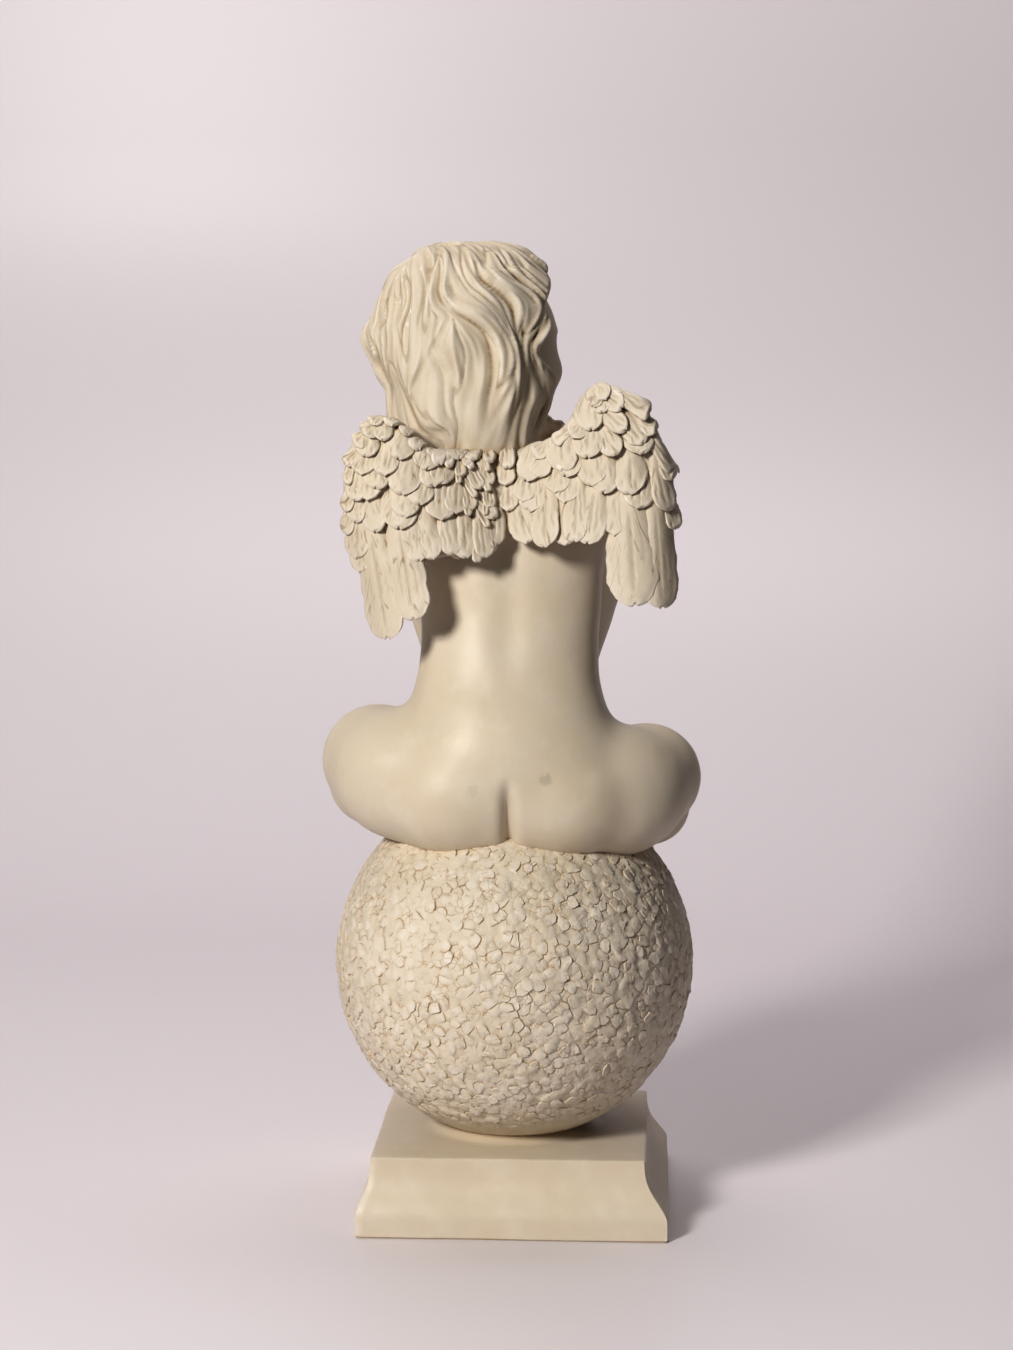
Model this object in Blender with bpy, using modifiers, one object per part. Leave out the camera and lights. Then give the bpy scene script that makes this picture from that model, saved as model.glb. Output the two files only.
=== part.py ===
"""Angel figurine: a winged child sits cross-legged on a crusted ball that stands on a moulded square plinth.

The whole work is one casting, so the script ends with one closed object. The figure faces -Y, its back is
towards +Y, +Z is up, and the origin is at the centre of the plinth's underside. Sizes are in metres. The
figure's own pose and carving are in figure units: 180 units are the height from the ball's top to the crown.
"""

import math

import bmesh
import bpy
import numpy as np
from mathutils import Matrix, Vector

# Plinth
PLINTH_WIDTH = 0.1010
PLINTH_TOP_WIDTH = 0.0895
PLINTH_HEIGHT = 0.0253
PLINTH_BAND_HEIGHT = 0.0065
PLINTH_EDGE_BEVEL = 0.0007
TOP_OFFSET = 0.0015
MOULDING_STEPS = 9
MOULDING_POWER = 1.6

# Ball and the fillet at its foot
BALL_DIAMETER = 0.1192
BALL_SINK = 0.0033
FILLET_WIDTH = 0.0110
FILLET_STEPS = 4
BALL_SUBDIVISIONS = 4
CRUST_ROUGHNESS = 0.00045

# Figure
FIGURE_HEIGHT = 0.1802
UNITS = 180.0
UNIT = FIGURE_HEIGHT / UNITS

BALL_RADIUS = BALL_DIAMETER / 2
BALL_CENTRE = Vector((TOP_OFFSET, 0, PLINTH_HEIGHT + BALL_RADIUS - BALL_SINK))
SEAT = BALL_CENTRE + Vector((0, 0, BALL_RADIUS))

# Mesh finish of the carved part, in figure units
BODY_VOXEL = 1.3
BODY_SMOOTHING = 18
WING_VOXEL = 0.75
# Facets kept in each of the carved forms
BODY_TRIANGLES = 2600
HEAD_TRIANGLES = 2100
WING_TRIANGLES = 1550

# Head: place, attitude and shells, in figure units and degrees
HEAD_CENTRE = Vector((14.5, -8, 145.5))
HEAD_TURN = 50
HEAD_ROLL = 10
HEAD_NOD = 7
SKULL = (26.5, 29.0, 29.5)
HAIR_SHELL = (31.6, 33.6, 31.8)
NAPE = ((0, 10, -21), (26, 22, 24))
CROWN = Vector((-0.05, 0.36, 0.93)).normalized()
HEAD_SEGMENTS = 132
HEAD_RINGS = 72

# Locks of hair
LOCK_COUNT = 24
LOCK_HEIGHT = 3.0
STRAND_HEIGHT = 0.5
WAVE_WIDTH = 4.2
WAVE_LENGTH = 62
PUFF_HEIGHT = 1.2

# Wings, in figure units: outward distance from the root, and height over it
LEFT_WING_ROOT = (3, 105)
RIGHT_WING_ROOT = (2, 105)
LEFT_WING_ROLL = 18.5
RIGHT_WING_ROLL = 0
WING_THICKNESS = 6.5
TOP_EDGE = [(-4, 3), (6, 6), (14, 9.6), (18.7, 14), (22.5, 20.6), (26, 25.5), (30.8, 28.6), (37.8, 27),
            (45.8, 20.6), (51, 9.6), (54.5, 0), (57, -10)]
LOWER_EDGE = [(-4, -20), (6, -22), (14, -24), (30, -23.5), (36, -23), (50, -22), (57, -20)]
WING_DEPTH = [(-4, 29.5), (8, 33), (20, 38.5), (32, 40.5), (42, 38), (50, 31), (57, 19)]
EDGE_ROLL = 5.0
FEATHER_THICKNESS = 3.0
# Rows of feathers: share of the way from the top edge down, length, width, first and last place, count
FEATHER_ROWS = [
    (0.98, 19, 8.4, 1, 31, 6),
    (0.72, 15, 8.2, 1, 52, 8),
    (0.52, 13.5, 8.0, 1, 53, 8),
    (0.35, 12, 7.6, 1, 52, 8),
    (0.20, 10, 7.2, 7, 50, 7),
]
# Long feathers: place outward, distance down from the top edge, length, width, lean in degrees, lift
LONG_FEATHERS = [(42.0, 69, 46, 13, -3, 0.5), (50.0, 58, 44, 11, -3, -1.0), (34.5, 55, 24, 9, -12, 1.0)]


def clear_scene():
    for obj in list(bpy.data.objects):
        bpy.data.objects.remove(obj, do_unlink=True)


def deselect_all():
    bpy.ops.object.select_all(action="DESELECT")


def make_active(obj):
    deselect_all()
    obj.select_set(True)
    bpy.context.view_layer.objects.active = obj


def join(objects, name):
    """One object from several, which still overlap as separate shells."""
    deselect_all()
    for obj in objects:
        obj.select_set(True)
    bpy.context.view_layer.objects.active = objects[0]
    bpy.ops.object.join()
    objects[0].name = name
    return objects[0]


def apply_modifiers(obj):
    make_active(obj)
    for modifier in list(obj.modifiers):
        bpy.ops.object.modifier_apply(modifier=modifier.name)


def spline(pairs, at):
    """A smooth curve through the pairs, read at the given places."""
    x, y = np.array(pairs, float).T
    at = np.clip(at, x[0], x[-1])
    slope = np.gradient(y, x)
    i = np.clip(np.searchsorted(x, at) - 1, 0, len(x) - 2)
    step = x[i + 1] - x[i]
    t = (at - x[i]) / step
    return (
        (1 + 2 * t) * (1 - t) ** 2 * y[i]
        + t * (1 - t) ** 2 * step * slope[i]
        + t**2 * (3 - 2 * t) * y[i + 1]
        + t**2 * (t - 1) * step * slope[i + 1]
    )


def ease(value):
    """A smooth step from 0 to 1."""
    value = np.clip(value, 0, 1)
    return value * value * (3 - 2 * value)


def ellipsoid(centre, radii, turn=(0, 0, 0), segments=32, rings=20):
    angles = [math.radians(a) for a in turn]
    bpy.ops.mesh.primitive_uv_sphere_add(segments=segments, ring_count=rings, location=centre, rotation=angles)
    obj = bpy.context.object
    obj.scale = radii
    bpy.ops.object.transform_apply(location=True, rotation=True, scale=True)
    return obj


def limb(stations, between=6):
    """A round limb through stations of (x, y, z, radius), with rounded ends."""
    stations = np.array(stations, float)
    along = np.arange(len(stations))
    fine = np.linspace(0, len(stations) - 1, between * (len(stations) - 1) + 1)
    rows = np.stack([spline(np.stack([along, stations[:, k]], 1), fine) for k in range(4)], 1)
    curve = bpy.data.curves.new("limb", "CURVE")
    curve.dimensions = "3D"
    curve.bevel_depth = 1
    curve.bevel_resolution = 6
    curve.use_fill_caps = True
    line = curve.splines.new("POLY")
    line.points.add(len(rows) - 1)
    for point, row in zip(line.points, rows):
        point.co = (*row[:3], 1)
        point.radius = row[3]
    guide = bpy.data.objects.new("limb", curve)
    bpy.context.scene.collection.objects.link(guide)
    bpy.context.view_layer.update()
    evaluated = guide.evaluated_get(bpy.context.evaluated_depsgraph_get())
    mesh = bpy.data.meshes.new_from_object(evaluated)
    bpy.data.objects.remove(guide)
    loose = bmesh.new()
    loose.from_mesh(mesh)
    bmesh.ops.remove_doubles(loose, verts=loose.verts, dist=1e-4)
    loose.to_mesh(mesh)
    loose.free()
    tube = bpy.data.objects.new("limb", mesh)
    bpy.context.scene.collection.objects.link(tube)
    ends = [ellipsoid(row[:3], (row[3],) * 3, segments=20, rings=12) for row in (rows[0], rows[-1])]
    return join([tube, *ends], "limb")


def torso():
    """Pelvis, belly, chest, shoulders and neck."""
    return [
        ellipsoid((0, 18, 14), (39, 27, 25)),
        ellipsoid((0, 5, 29), (28, 21, 22)),
        ellipsoid((0.5, 10.5, 46), (29.5, 19.5, 27)),
        ellipsoid((0.5, 10, 72), (33, 19.5, 27)),
        ellipsoid((0, 7, 92), (36, 15, 14)),
        limb([(2, 8, 94, 15), (6, 1, 108, 13.5), (10, -3, 122, 13.5)]),
    ]


def legs():
    """Seat, spread thighs and shins that cross in front, with the feet on the ball."""
    made = [
        ellipsoid((20, 21, 2), (29, 26.5, 23)),
        ellipsoid((-20, 21, 1.5), (29, 26.5, 23)),
        limb([(22, 15, 6, 24), (38, 5, 5, 22.5), (47, -11, 8, 18.2)]),
        limb([(-22, 15, 6, 24), (-37.5, 5, 3.5, 22.5), (-45.5, -11, 3, 18.2)]),
        limb([(48, -15, 2, 15), (27, -36, 0, 12.5), (-4, -45, -7, 8.5)]),
        limb([(-46.5, -15, -1, 15), (-25, -32, -1, 12), (9, -35, -4, 8.5)]),
        limb([(-5, -43, -10, 8), (-16, -44, -14, 7.5), (-27, -41, -17, 6)]),
        limb([(11, -37, -9, 8), (21, -42, -15, 7.5), (31, -41, -19, 6)]),
    ]
    return made


def arms():
    """The right forearm stands up to the chin, and the left one lies across the lap."""
    return [
        limb([(-29, 6, 96, 13), (-26.5, -12, 70, 11), (-18, -33, 38, 9)]),
        limb([(-18, -33, 38, 9), (-16, -34, 66, 9), (-11.5, -28, 98, 6.5)]),
        limb([(29, 6, 95, 13), (27, -7, 66, 11), (21, -20, 35, 9)]),
        limb([(21, -20, 35, 9), (9, -32, 31, 9), (-5, -39, 28, 6.5)]),
    ]


def fingers(palm, reach, spread, curl, count=4, length=12, radius=2.4):
    """Bent fingers side by side: reach is the way they point, spread the way from one to the next."""
    reach, spread, curl = (Vector(v).normalized() for v in (reach, spread, curl))
    made = []
    for i in range(count):
        start = Vector(palm) + spread * (i - (count - 1) / 2) * radius * 1.75
        size = length * (0.82, 0.97, 1.0, 0.9)[i]
        middle = start + reach * size * 0.6 + curl * size * 0.1
        tip = start + reach * size * 0.85 + curl * size * 0.5
        made.append(limb([(*start, radius), (*middle, radius), (*tip, radius * 0.85)], between=4))
    return made


def hands():
    """A loose fist under the chin, and a hand laid under that elbow."""
    return [
        ellipsoid((-11, -26.5, 106), (7.5, 6, 9), (10, 0, 25)),
        *fingers((-10.5, -29.5, 110), (0.1, -0.4, 0.9), (0.85, -0.45, 0), (0.3, 0.9, 0.2)),
        limb([(-16.5, -23.5, 105, 3), (-18.5, -20.5, 112, 2.8), (-16.5, -17.5, 117, 2.4)], between=4),
        ellipsoid((-12, -40, 27.5), (9, 6, 5.5), (0, 0, 8)),
        *fingers((-18, -38.5, 28.5), (-0.8, 0.5, 0.2), (0, 0.5, -0.85), (0.3, 1, 0.3), length=9),
    ]


def toes():
    made = []
    for side, ball_of_foot, reach in ((1, (-28, -41, -18), (-1, 0.1, -0.25)), (-1, (32, -41, -20), (1, 0.1, -0.3))):
        reach = Vector(reach).normalized()
        for i in range(5):
            start = Vector(ball_of_foot) + Vector((0, 1, 0.25)).normalized() * (i - 2) * 2.7
            radius = 2.7 if i == 0 else 2.0
            tip = start + reach * (6.0 - 0.6 * i)
            made.append(limb([(*start, radius), (*tip, radius)], between=2))
    return made


def body():
    """The smooth body: overlapping forms fused, then softened as one skin."""
    fused = join([*torso(), *legs(), *arms()], "body")
    remesh = fused.modifiers.new("fuse", "REMESH")
    remesh.mode = "VOXEL"
    remesh.voxel_size = BODY_VOXEL
    smooth = fused.modifiers.new("soften", "SMOOTH")
    smooth.factor = 0.6
    smooth.iterations = BODY_SMOOTHING
    apply_modifiers(fused)
    model_back(fused)
    return fused


def model_back(obj):
    """Furrow of the spine, the cleft, and the hollows beside the shoulder blades."""
    points = np.empty(len(obj.data.vertices) * 3)
    obj.data.vertices.foreach_get("co", points)
    points = points.reshape(-1, 3)
    x, y, z = points.T
    behind = ease((y - 14) / 12)
    spine = 1.7 * np.exp(-((x - 0.5) / 4.2) ** 2) * ease((z - 22) / 16) * ease((98 - z) / 20)
    cleft = 5.0 * np.exp(-(np.abs(x) / 2.0) ** 1.6) * ease((15 - z) / 14) * ease((y - 22) / 14)
    loin = 0.9 * np.exp(-((np.abs(x) - 9) / 5) ** 2 - ((z - 21) / 5) ** 2)
    points[:, 1] -= (spine + loin) * behind + cleft
    obj.data.vertices.foreach_set("co", points.ravel())
    obj.data.update()


def shell_radius(unit, radii):
    return 1 / np.sqrt(((unit / np.array(radii)) ** 2).sum(1))


def hair_radius(unit):
    """Reach of the hair's mass: its shell, run together with the fuller locks at the nape."""
    centre, radii = (np.array(v, float) for v in NAPE)
    slope = (unit / radii**2) @ centre
    spread = ((unit / radii) ** 2).sum(1)
    inside = slope**2 - spread * (((centre / radii) ** 2).sum() - 1)
    nape = np.where(inside > 0, (slope + np.sqrt(np.maximum(inside, 0))) / spread, 0)
    shell = shell_radius(unit, HAIR_SHELL)
    return 0.5 * (shell + nape + np.sqrt((shell - nape) ** 2 + 6))


def scatter(index, seed):
    """A repeatable number from 0 to 1 for each index."""
    return np.modf(np.abs(np.sin(index * 12.9898 + seed * 78.233) * 43758.5453))[0]


def crown_angles(unit):
    """Angle from the crown, and bearing round it, of each direction."""
    pole = np.array(CROWN)
    side = np.cross(pole, (0, 0, 1.0))
    side /= np.linalg.norm(side)
    ahead = np.cross(pole, side)
    return np.arccos(np.clip(unit @ pole, -1, 1)), np.arctan2(unit @ side, unit @ ahead)


def hair_relief(unit):
    """Height of the locks over the hair's shell."""
    fall, bearing = crown_angles(unit)
    degrees = np.degrees(fall)
    reach = np.maximum(np.sin(fall), 0.3)
    phase = 1.3 * np.sin(2 * bearing + 0.6) + 0.7 * np.sin(3 * bearing + 2)
    turns = 2 * np.pi * degrees / WAVE_LENGTH
    wave = WAVE_WIDTH / HAIR_SHELL[0] / reach * np.sin(turns + phase) * ease(degrees / 26)
    wave += 0.3 * WAVE_WIDTH / HAIR_SHELL[0] / reach * np.sin(2.3 * turns + 2 * phase) * ease(degrees / 40)
    lock = LOCK_COUNT * (bearing + wave) / (2 * np.pi)
    lock += 0.45 * np.sin(5 * bearing + 1) + 0.3 * np.sin(11 * bearing + 2)
    index = np.mod(np.floor(lock), LOCK_COUNT)
    across = lock - np.floor(lock)
    height = 0.55 + 0.55 * scatter(index, 1)
    ridge = np.sin(np.pi * across**0.75) ** 0.75
    strand = 3 * lock + 0.4 * np.sin(turns * 1.7 + index)
    fine = np.abs(np.sin(np.pi * strand)) ** 0.6 - 0.6
    puff = np.sin(turns * 0.9 + 2.2 + 1.1 * np.sin(2 * bearing) + 2.4 * scatter(index, 5))
    away = ease((degrees - 6) / 22)
    return away * (LOCK_HEIGHT * height * ridge + STRAND_HEIGHT * fine * ridge + PUFF_HEIGHT * puff)


def hair_cover(unit):
    """1 where hair covers the head, 0 on the face and throat."""
    across = np.degrees(np.arctan2(unit[:, 0], -unit[:, 1])) / 74
    up = np.degrees(np.arcsin(np.clip(unit[:, 2], -1, 1))) + 14
    up = np.where(up > 0, up / 52, up / 95)
    edge = np.hypot(across, up) + 0.035 * np.sin(16 * across) + 0.025 * np.sin(27 * across + 1)
    return ease((edge - 1) / 0.09)


# Face: name, height, centre across and up, reach across and up; a centre off the middle is made on both sides
FACE_FORMS = [
    ("forehead", 1.6, 0, 8, 15, 8),
    ("brow", 0.9, 9.5, 2.6, 6, 1.8),
    ("socket", -3.6, 9.3, -3.2, 5.4, 3.7),
    ("eyeball", 2.9, 9.5, -4.0, 3.7, 2.5),
    ("lid_crease", -0.7, 9.5, -1.5, 4.2, 0.6),
    ("lash_line", -0.6, 9.5, -5.0, 3.9, 0.55),
    ("nose_bridge", 2.4, 0, -3.5, 1.9, 5.0),
    ("nose_tip", 4.8, 0, -9.3, 2.5, 2.4),
    ("nostril_wing", 2.2, 3.0, -10.2, 1.5, 1.5),
    ("under_nose", -1.6, 1.4, -12.3, 1.3, 0.8),
    ("muzzle", 6.5, 0, -19, 11, 9),
    ("upper_lip", 1.7, 1.9, -14.9, 2.3, 1.0),
    ("lower_lip", 2.1, 0, -17.5, 2.9, 1.2),
    ("mouth_line", -1.6, 0, -16.1, 4.8, 0.5),
    ("mouth_corner", -1.2, 5.3, -16.0, 1.3, 1.1),
    ("chin_hollow", -1.3, 0, -20.2, 3.6, 1.3),
    ("chin", 3.0, 0, -24, 4.6, 3.6),
    ("cheek", 3.2, 13.8, -12, 6.8, 7),
]


def model_face(points):
    """Raises the face's forms on the front of the skull."""
    x, y, z = points.T
    front = ease((-y - 2) / 10)
    raised = np.zeros(len(points))
    for _, height, across, up, wide, tall in FACE_FORMS:
        for side in (1, -1) if across else (1,):
            raised += height * np.exp(-(((x - side * across) / wide) ** 2) - ((z - up) / tall) ** 2)
    moved = points.copy()
    moved[:, 1] -= raised * front
    return moved


def head_attitude():
    turn = Matrix.Rotation(-math.radians(HEAD_TURN), 4, "Z")
    roll = Matrix.Rotation(math.radians(HEAD_ROLL), 4, "Y")
    nod = Matrix.Rotation(math.radians(HEAD_NOD), 4, "X")
    return Matrix.Translation(HEAD_CENTRE) @ roll @ turn @ nod


def head():
    """Face and hair modelled on one sphere whose pole is the crown."""
    bpy.ops.mesh.primitive_uv_sphere_add(segments=HEAD_SEGMENTS, ring_count=HEAD_RINGS, radius=1)
    obj = bpy.context.object
    obj.data.transform(Vector((0, 0, 1)).rotation_difference(CROWN).to_matrix().to_4x4())
    unit = np.empty(len(obj.data.vertices) * 3)
    obj.data.vertices.foreach_get("co", unit)
    unit = unit.reshape(-1, 3)
    unit /= np.linalg.norm(unit, axis=1)[:, None]
    face = model_face(unit * shell_radius(unit, SKULL)[:, None])
    hair = unit * (hair_radius(unit) + hair_relief(unit))[:, None]
    points = face + (hair - face) * hair_cover(unit)[:, None]
    obj.data.vertices.foreach_set("co", points.ravel())
    obj.data.transform(head_attitude())
    obj.data.update()
    return obj


def wing_place(side, root, roll, out, down, lift):
    """Points of a wing in the figure's frame, for side 1 (left) or -1 (right).

    The wing's skin is measured outward from its root and down from its top edge, where it rolls over
    forward; lift is the height over that skin.
    """
    out, down, lift = np.broadcast_arrays(out, down, lift)
    quarter = EDGE_ROLL * math.pi / 2
    angle = np.clip(math.pi / 2 - down / EDGE_ROLL, 0, math.pi * 0.8)
    straight = np.maximum(down - quarter, 0)
    top = spline(TOP_EDGE, out)
    depth = spline(WING_DEPTH, out) - EDGE_ROLL + (EDGE_ROLL + lift) * np.cos(angle)
    up = top - EDGE_ROLL + (EDGE_ROLL + lift) * np.sin(angle) - straight
    turn = math.radians(roll)
    across = out * math.cos(turn) + up * math.sin(turn)
    rise = -out * math.sin(turn) + up * math.cos(turn)
    return np.stack([root[0] + side * across, depth, root[1] + rise], -1)


def wing_height(out):
    """Distance down the skin from the top edge to the lower one."""
    return spline(TOP_EDGE, out) - spline(LOWER_EDGE, out) + EDGE_ROLL * (math.pi / 2 - 1)


def wing_blade(side, root, roll):
    """The solid blade under the feathers."""
    bpy.ops.mesh.primitive_grid_add(x_subdivisions=24, y_subdivisions=18, size=2)
    obj = bpy.context.object
    points = np.empty(len(obj.data.vertices) * 3)
    obj.data.vertices.foreach_get("co", points)
    points = points.reshape(-1, 3)
    out = -3 + 57 * (points[:, 0] + 1) / 2
    share = (1 - points[:, 1]) / 2
    down = -0.5 * EDGE_ROLL + (wing_height(out) - 4 + 0.5 * EDGE_ROLL) * share
    obj.data.vertices.foreach_set("co", wing_place(side, root, roll, out, down, -0.8).ravel())
    if side > 0:
        obj.data.flip_normals()
    thick = obj.modifiers.new("thickness", "SOLIDIFY")
    thick.thickness = WING_THICKNESS
    thick.offset = -1
    apply_modifiers(obj)
    return obj


def feather(side, root, roll, tip_out, tip_down, length, width, lean, lift=0.0):
    """A tongue-shaped feather laid on the wing: lean is its tip's way outward, in degrees from straight down."""
    bpy.ops.mesh.primitive_uv_sphere_add(segments=12, ring_count=8, radius=1)
    obj = bpy.context.object
    sphere = np.empty(len(obj.data.vertices) * 3)
    obj.data.vertices.foreach_get("co", sphere)
    x, y, z = sphere.reshape(-1, 3).T
    along = (1 + z) / 2
    ring = np.maximum(np.sqrt(np.clip(1 - z * z, 0, 1)), 1e-6)
    half = width / 2 * np.clip(1 - (np.clip(along - 0.55, 0, 1) / 0.45) ** 2.6, 0, 1) ** 0.5
    half *= 0.55 + 0.45 * ease(along / 0.4)
    across = x / ring * np.where(ring > 1e-3, half, 0)
    thick = FEATHER_THICKNESS / 2 * ring**0.6
    height = y / ring * np.where(ring > 1e-3, thick, 0) - 0.14 * width * (across / (width / 2)) ** 2
    height += lift - 2.2 + 4.0 * along
    lean = math.radians(lean)
    back = length * (1 - along)
    out = tip_out - back * math.sin(lean) + across * math.cos(lean)
    shift = spline(TOP_EDGE, out) - spline(TOP_EDGE, np.array(float(tip_out)))
    down = tip_down - back * math.cos(lean) - across * math.sin(lean) + shift
    placed = wing_place(side, root, roll, out, down, height)
    obj.data.vertices.foreach_set("co", placed.ravel())
    obj.data.update()
    return obj


def feather_lean(out, share):
    """The fan of the wing: outward at the shoulder's end, inward in the middle of the lower rows."""
    shoulder = 40 * ease((out - 24) / 24) * (1 - share) ** 1.3
    return shoulder - 14 * ease((out - 8) / 20) * share + 16 * ease(1 - out / 10) * share


def wing(side, root, roll):
    """One wing: blade, root in the back, rows of feathers and the long feathers under them."""
    made = [wing_blade(side, root, roll)]
    made.append(ellipsoid(wing_place(side, root, roll, 7, 14, -12), (13, 10, 15)))
    for tip_out, tip_down, length, width, lean, lift in LONG_FEATHERS:
        made.append(feather(side, root, roll, tip_out, tip_down, length, width, lean, lift))
    for row, (share, length, width, first, last, count) in enumerate(FEATHER_ROWS):
        for i in range(count):
            out = first + (last - first) * (i + 0.25 * (row % 2)) / (count - 1)
            odd = i % 2
            tip = wing_height(out) * share + 1.2 * odd
            size = 1 - 0.12 * odd
            made.append(feather(side, root, roll, out, tip, length * size, width, feather_lean(out, share), -0.6 * odd))
    return made


def facet(obj, triangles, voxel=None):
    """Fuses overlapping shells when asked, and cuts the form down to flat facets."""
    if voxel:
        remesh = obj.modifiers.new("fuse", "REMESH")
        remesh.mode = "VOXEL"
        remesh.voxel_size = voxel
        smooth = obj.modifiers.new("soften", "SMOOTH")
        smooth.factor = 0.5
        smooth.iterations = 1
        apply_modifiers(obj)
    obj.data.calc_loop_triangles()
    facets = obj.modifiers.new("facets", "DECIMATE")
    facets.ratio = triangles / len(obj.data.loop_triangles)
    apply_modifiers(obj)
    return obj


def figure():
    """The carved forms, in metres on the ball."""
    forms = [
        facet(join([body(), *hands(), *toes()], "body"), BODY_TRIANGLES, BODY_VOXEL * 0.75),
        facet(head(), HEAD_TRIANGLES),
        facet(join(wing(1, LEFT_WING_ROOT, LEFT_WING_ROLL), "left_wing"), WING_TRIANGLES, WING_VOXEL),
        facet(join(wing(-1, RIGHT_WING_ROOT, RIGHT_WING_ROLL), "right_wing"), WING_TRIANGLES, WING_VOXEL),
    ]
    for form in forms:
        form.data.transform(Matrix.Translation(SEAT) @ Matrix.Scale(UNIT, 4))
    return forms


def ball():
    """The crusted ball, slightly rough where its florets stand."""
    bpy.ops.mesh.primitive_ico_sphere_add(subdivisions=BALL_SUBDIVISIONS, radius=1)
    obj = bpy.context.object
    points = np.empty(len(obj.data.vertices) * 3)
    obj.data.vertices.foreach_get("co", points)
    points = points.reshape(-1, 3)
    rough = scatter(np.arange(len(points)), 3) - 1
    points *= (BALL_RADIUS + CRUST_ROUGHNESS * rough)[:, None]
    obj.data.vertices.foreach_set("co", (points + np.array(BALL_CENTRE)).ravel())
    obj.data.update()
    return obj


def plinth():
    """Square plinth: a band at the foot, then a moulding that sweeps in to the top."""
    levels = [(0.0, 1.0), (PLINTH_BAND_HEIGHT, 1.0)]
    for step in range(1, MOULDING_STEPS + 1):
        rise = step / MOULDING_STEPS
        flare = float(ease((1 - rise) ** MOULDING_POWER))
        levels.append((PLINTH_BAND_HEIGHT + (PLINTH_HEIGHT - PLINTH_BAND_HEIGHT) * rise, flare))
    bpy.ops.mesh.primitive_cube_add(size=1)
    obj = bpy.context.object
    obj.name = "plinth"
    shape = bmesh.new()
    rings = []
    for height, flare in levels:
        half = (PLINTH_TOP_WIDTH + (PLINTH_WIDTH - PLINTH_TOP_WIDTH) * flare) / 2
        middle = TOP_OFFSET * (1 - flare)
        corners = ((-1, -1), (1, -1), (1, 1), (-1, 1))
        rings.append([shape.verts.new((middle + half * x, half * y, height)) for x, y in corners])
    for low, high in zip(rings, rings[1:]):
        for i in range(4):
            shape.faces.new((low[i], low[(i + 1) % 4], high[(i + 1) % 4], high[i]))
    shape.faces.new(reversed(rings[0]))
    shape.faces.new(rings[-1])
    shape.to_mesh(obj.data)
    shape.free()
    bevel = obj.modifiers.new("edges", "BEVEL")
    bevel.width = PLINTH_EDGE_BEVEL
    bevel.segments = 2
    bevel.angle_limit = math.radians(50)
    apply_modifiers(obj)
    return obj


def fillet():
    """The concave ring where the ball's foot runs into the plinth."""
    contact = math.sqrt(BALL_RADIUS**2 - (BALL_RADIUS - BALL_SINK) ** 2)
    outer = contact + FILLET_WIDTH
    inner = contact + 0.5 * FILLET_WIDTH
    rise = BALL_RADIUS - BALL_SINK - math.sqrt(BALL_RADIUS**2 - inner**2)
    under = 0.4 * PLINTH_HEIGHT
    profile = [(0, rise), (inner * 0.9, rise)]
    for step in range(FILLET_STEPS + 1):
        t = step / FILLET_STEPS
        profile.append((inner + (outer - inner) * t, rise * (1 - t) ** 2))
    profile += [(outer, -under), (0, -under)]
    mesh = bpy.data.meshes.new("fillet")
    points = [(x, 0, z) for x, z in profile]
    mesh.from_pydata(points, [(i, i + 1) for i in range(len(points) - 1)], [])
    obj = bpy.data.objects.new("fillet", mesh)
    bpy.context.scene.collection.objects.link(obj)
    screw = obj.modifiers.new("turn", "SCREW")
    screw.steps = screw.render_steps = 40
    screw.use_merge_vertices = True
    screw.merge_threshold = 0.00001
    apply_modifiers(obj)
    obj.data.transform(Matrix.Translation((TOP_OFFSET, 0, PLINTH_HEIGHT)))
    return obj


def unite(base, other):
    """Adds another closed form to the casting."""
    union = base.modifiers.new("unite", "BOOLEAN")
    union.operation = "UNION"
    union.solver = "EXACT"
    union.object = other
    apply_modifiers(base)
    bpy.data.objects.remove(other)


def drop_crumbs(obj, smallest=40):
    """Removes the loose slivers that the unions leave behind."""
    shape = bmesh.new()
    shape.from_mesh(obj.data)
    seen = set()
    crumbs = []
    for start in shape.verts:
        if start in seen:
            continue
        seen.add(start)
        island = [start]
        for vert in island:
            for edge in vert.link_edges:
                other = edge.other_vert(vert)
                if other not in seen:
                    seen.add(other)
                    island.append(other)
        if len(island) < smallest:
            crumbs += island
    bmesh.ops.delete(shape, geom=crumbs, context="VERTS")
    shape.to_mesh(obj.data)
    shape.free()


def resin():
    """Cream cast resin with a soft gloss."""
    material = bpy.data.materials.new("cast_resin")
    material.use_nodes = True
    shader = material.node_tree.nodes["Principled BSDF"]
    shader.inputs["Base Color"].default_value = (0.66, 0.58, 0.43, 1)
    shader.inputs["Roughness"].default_value = 0.42
    shader.inputs["Metallic"].default_value = 0.0
    return material


def main():
    clear_scene()
    casting = plinth()
    for part in (fillet(), ball(), *figure()):
        unite(casting, part)
    drop_crumbs(casting)
    casting.name = "angel_figurine"
    casting.data.name = "angel_figurine"
    casting.data.materials.clear()
    casting.data.materials.append(resin())
    casting.data.shade_smooth()
    casting.data.set_sharp_from_angle(angle=math.radians(40))
    collection = bpy.data.collections.new("Angel figurine")
    bpy.context.scene.collection.children.link(collection)
    for owner in list(casting.users_collection):
        owner.objects.unlink(casting)
    collection.objects.link(casting)


main()
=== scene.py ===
"""Looks of the angel figurine: carved body, hair, feathered wings, crusted ball, plinth and studio."""

import math

import bmesh
import bpy
import numpy as np
from bpy.props import FloatProperty, FloatVectorProperty, IntProperty, PointerProperty
from bpy.types import Operator, Panel, PropertyGroup
from mathutils import Matrix, Vector
from mathutils.geometry import delaunay_2d_cdt


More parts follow.
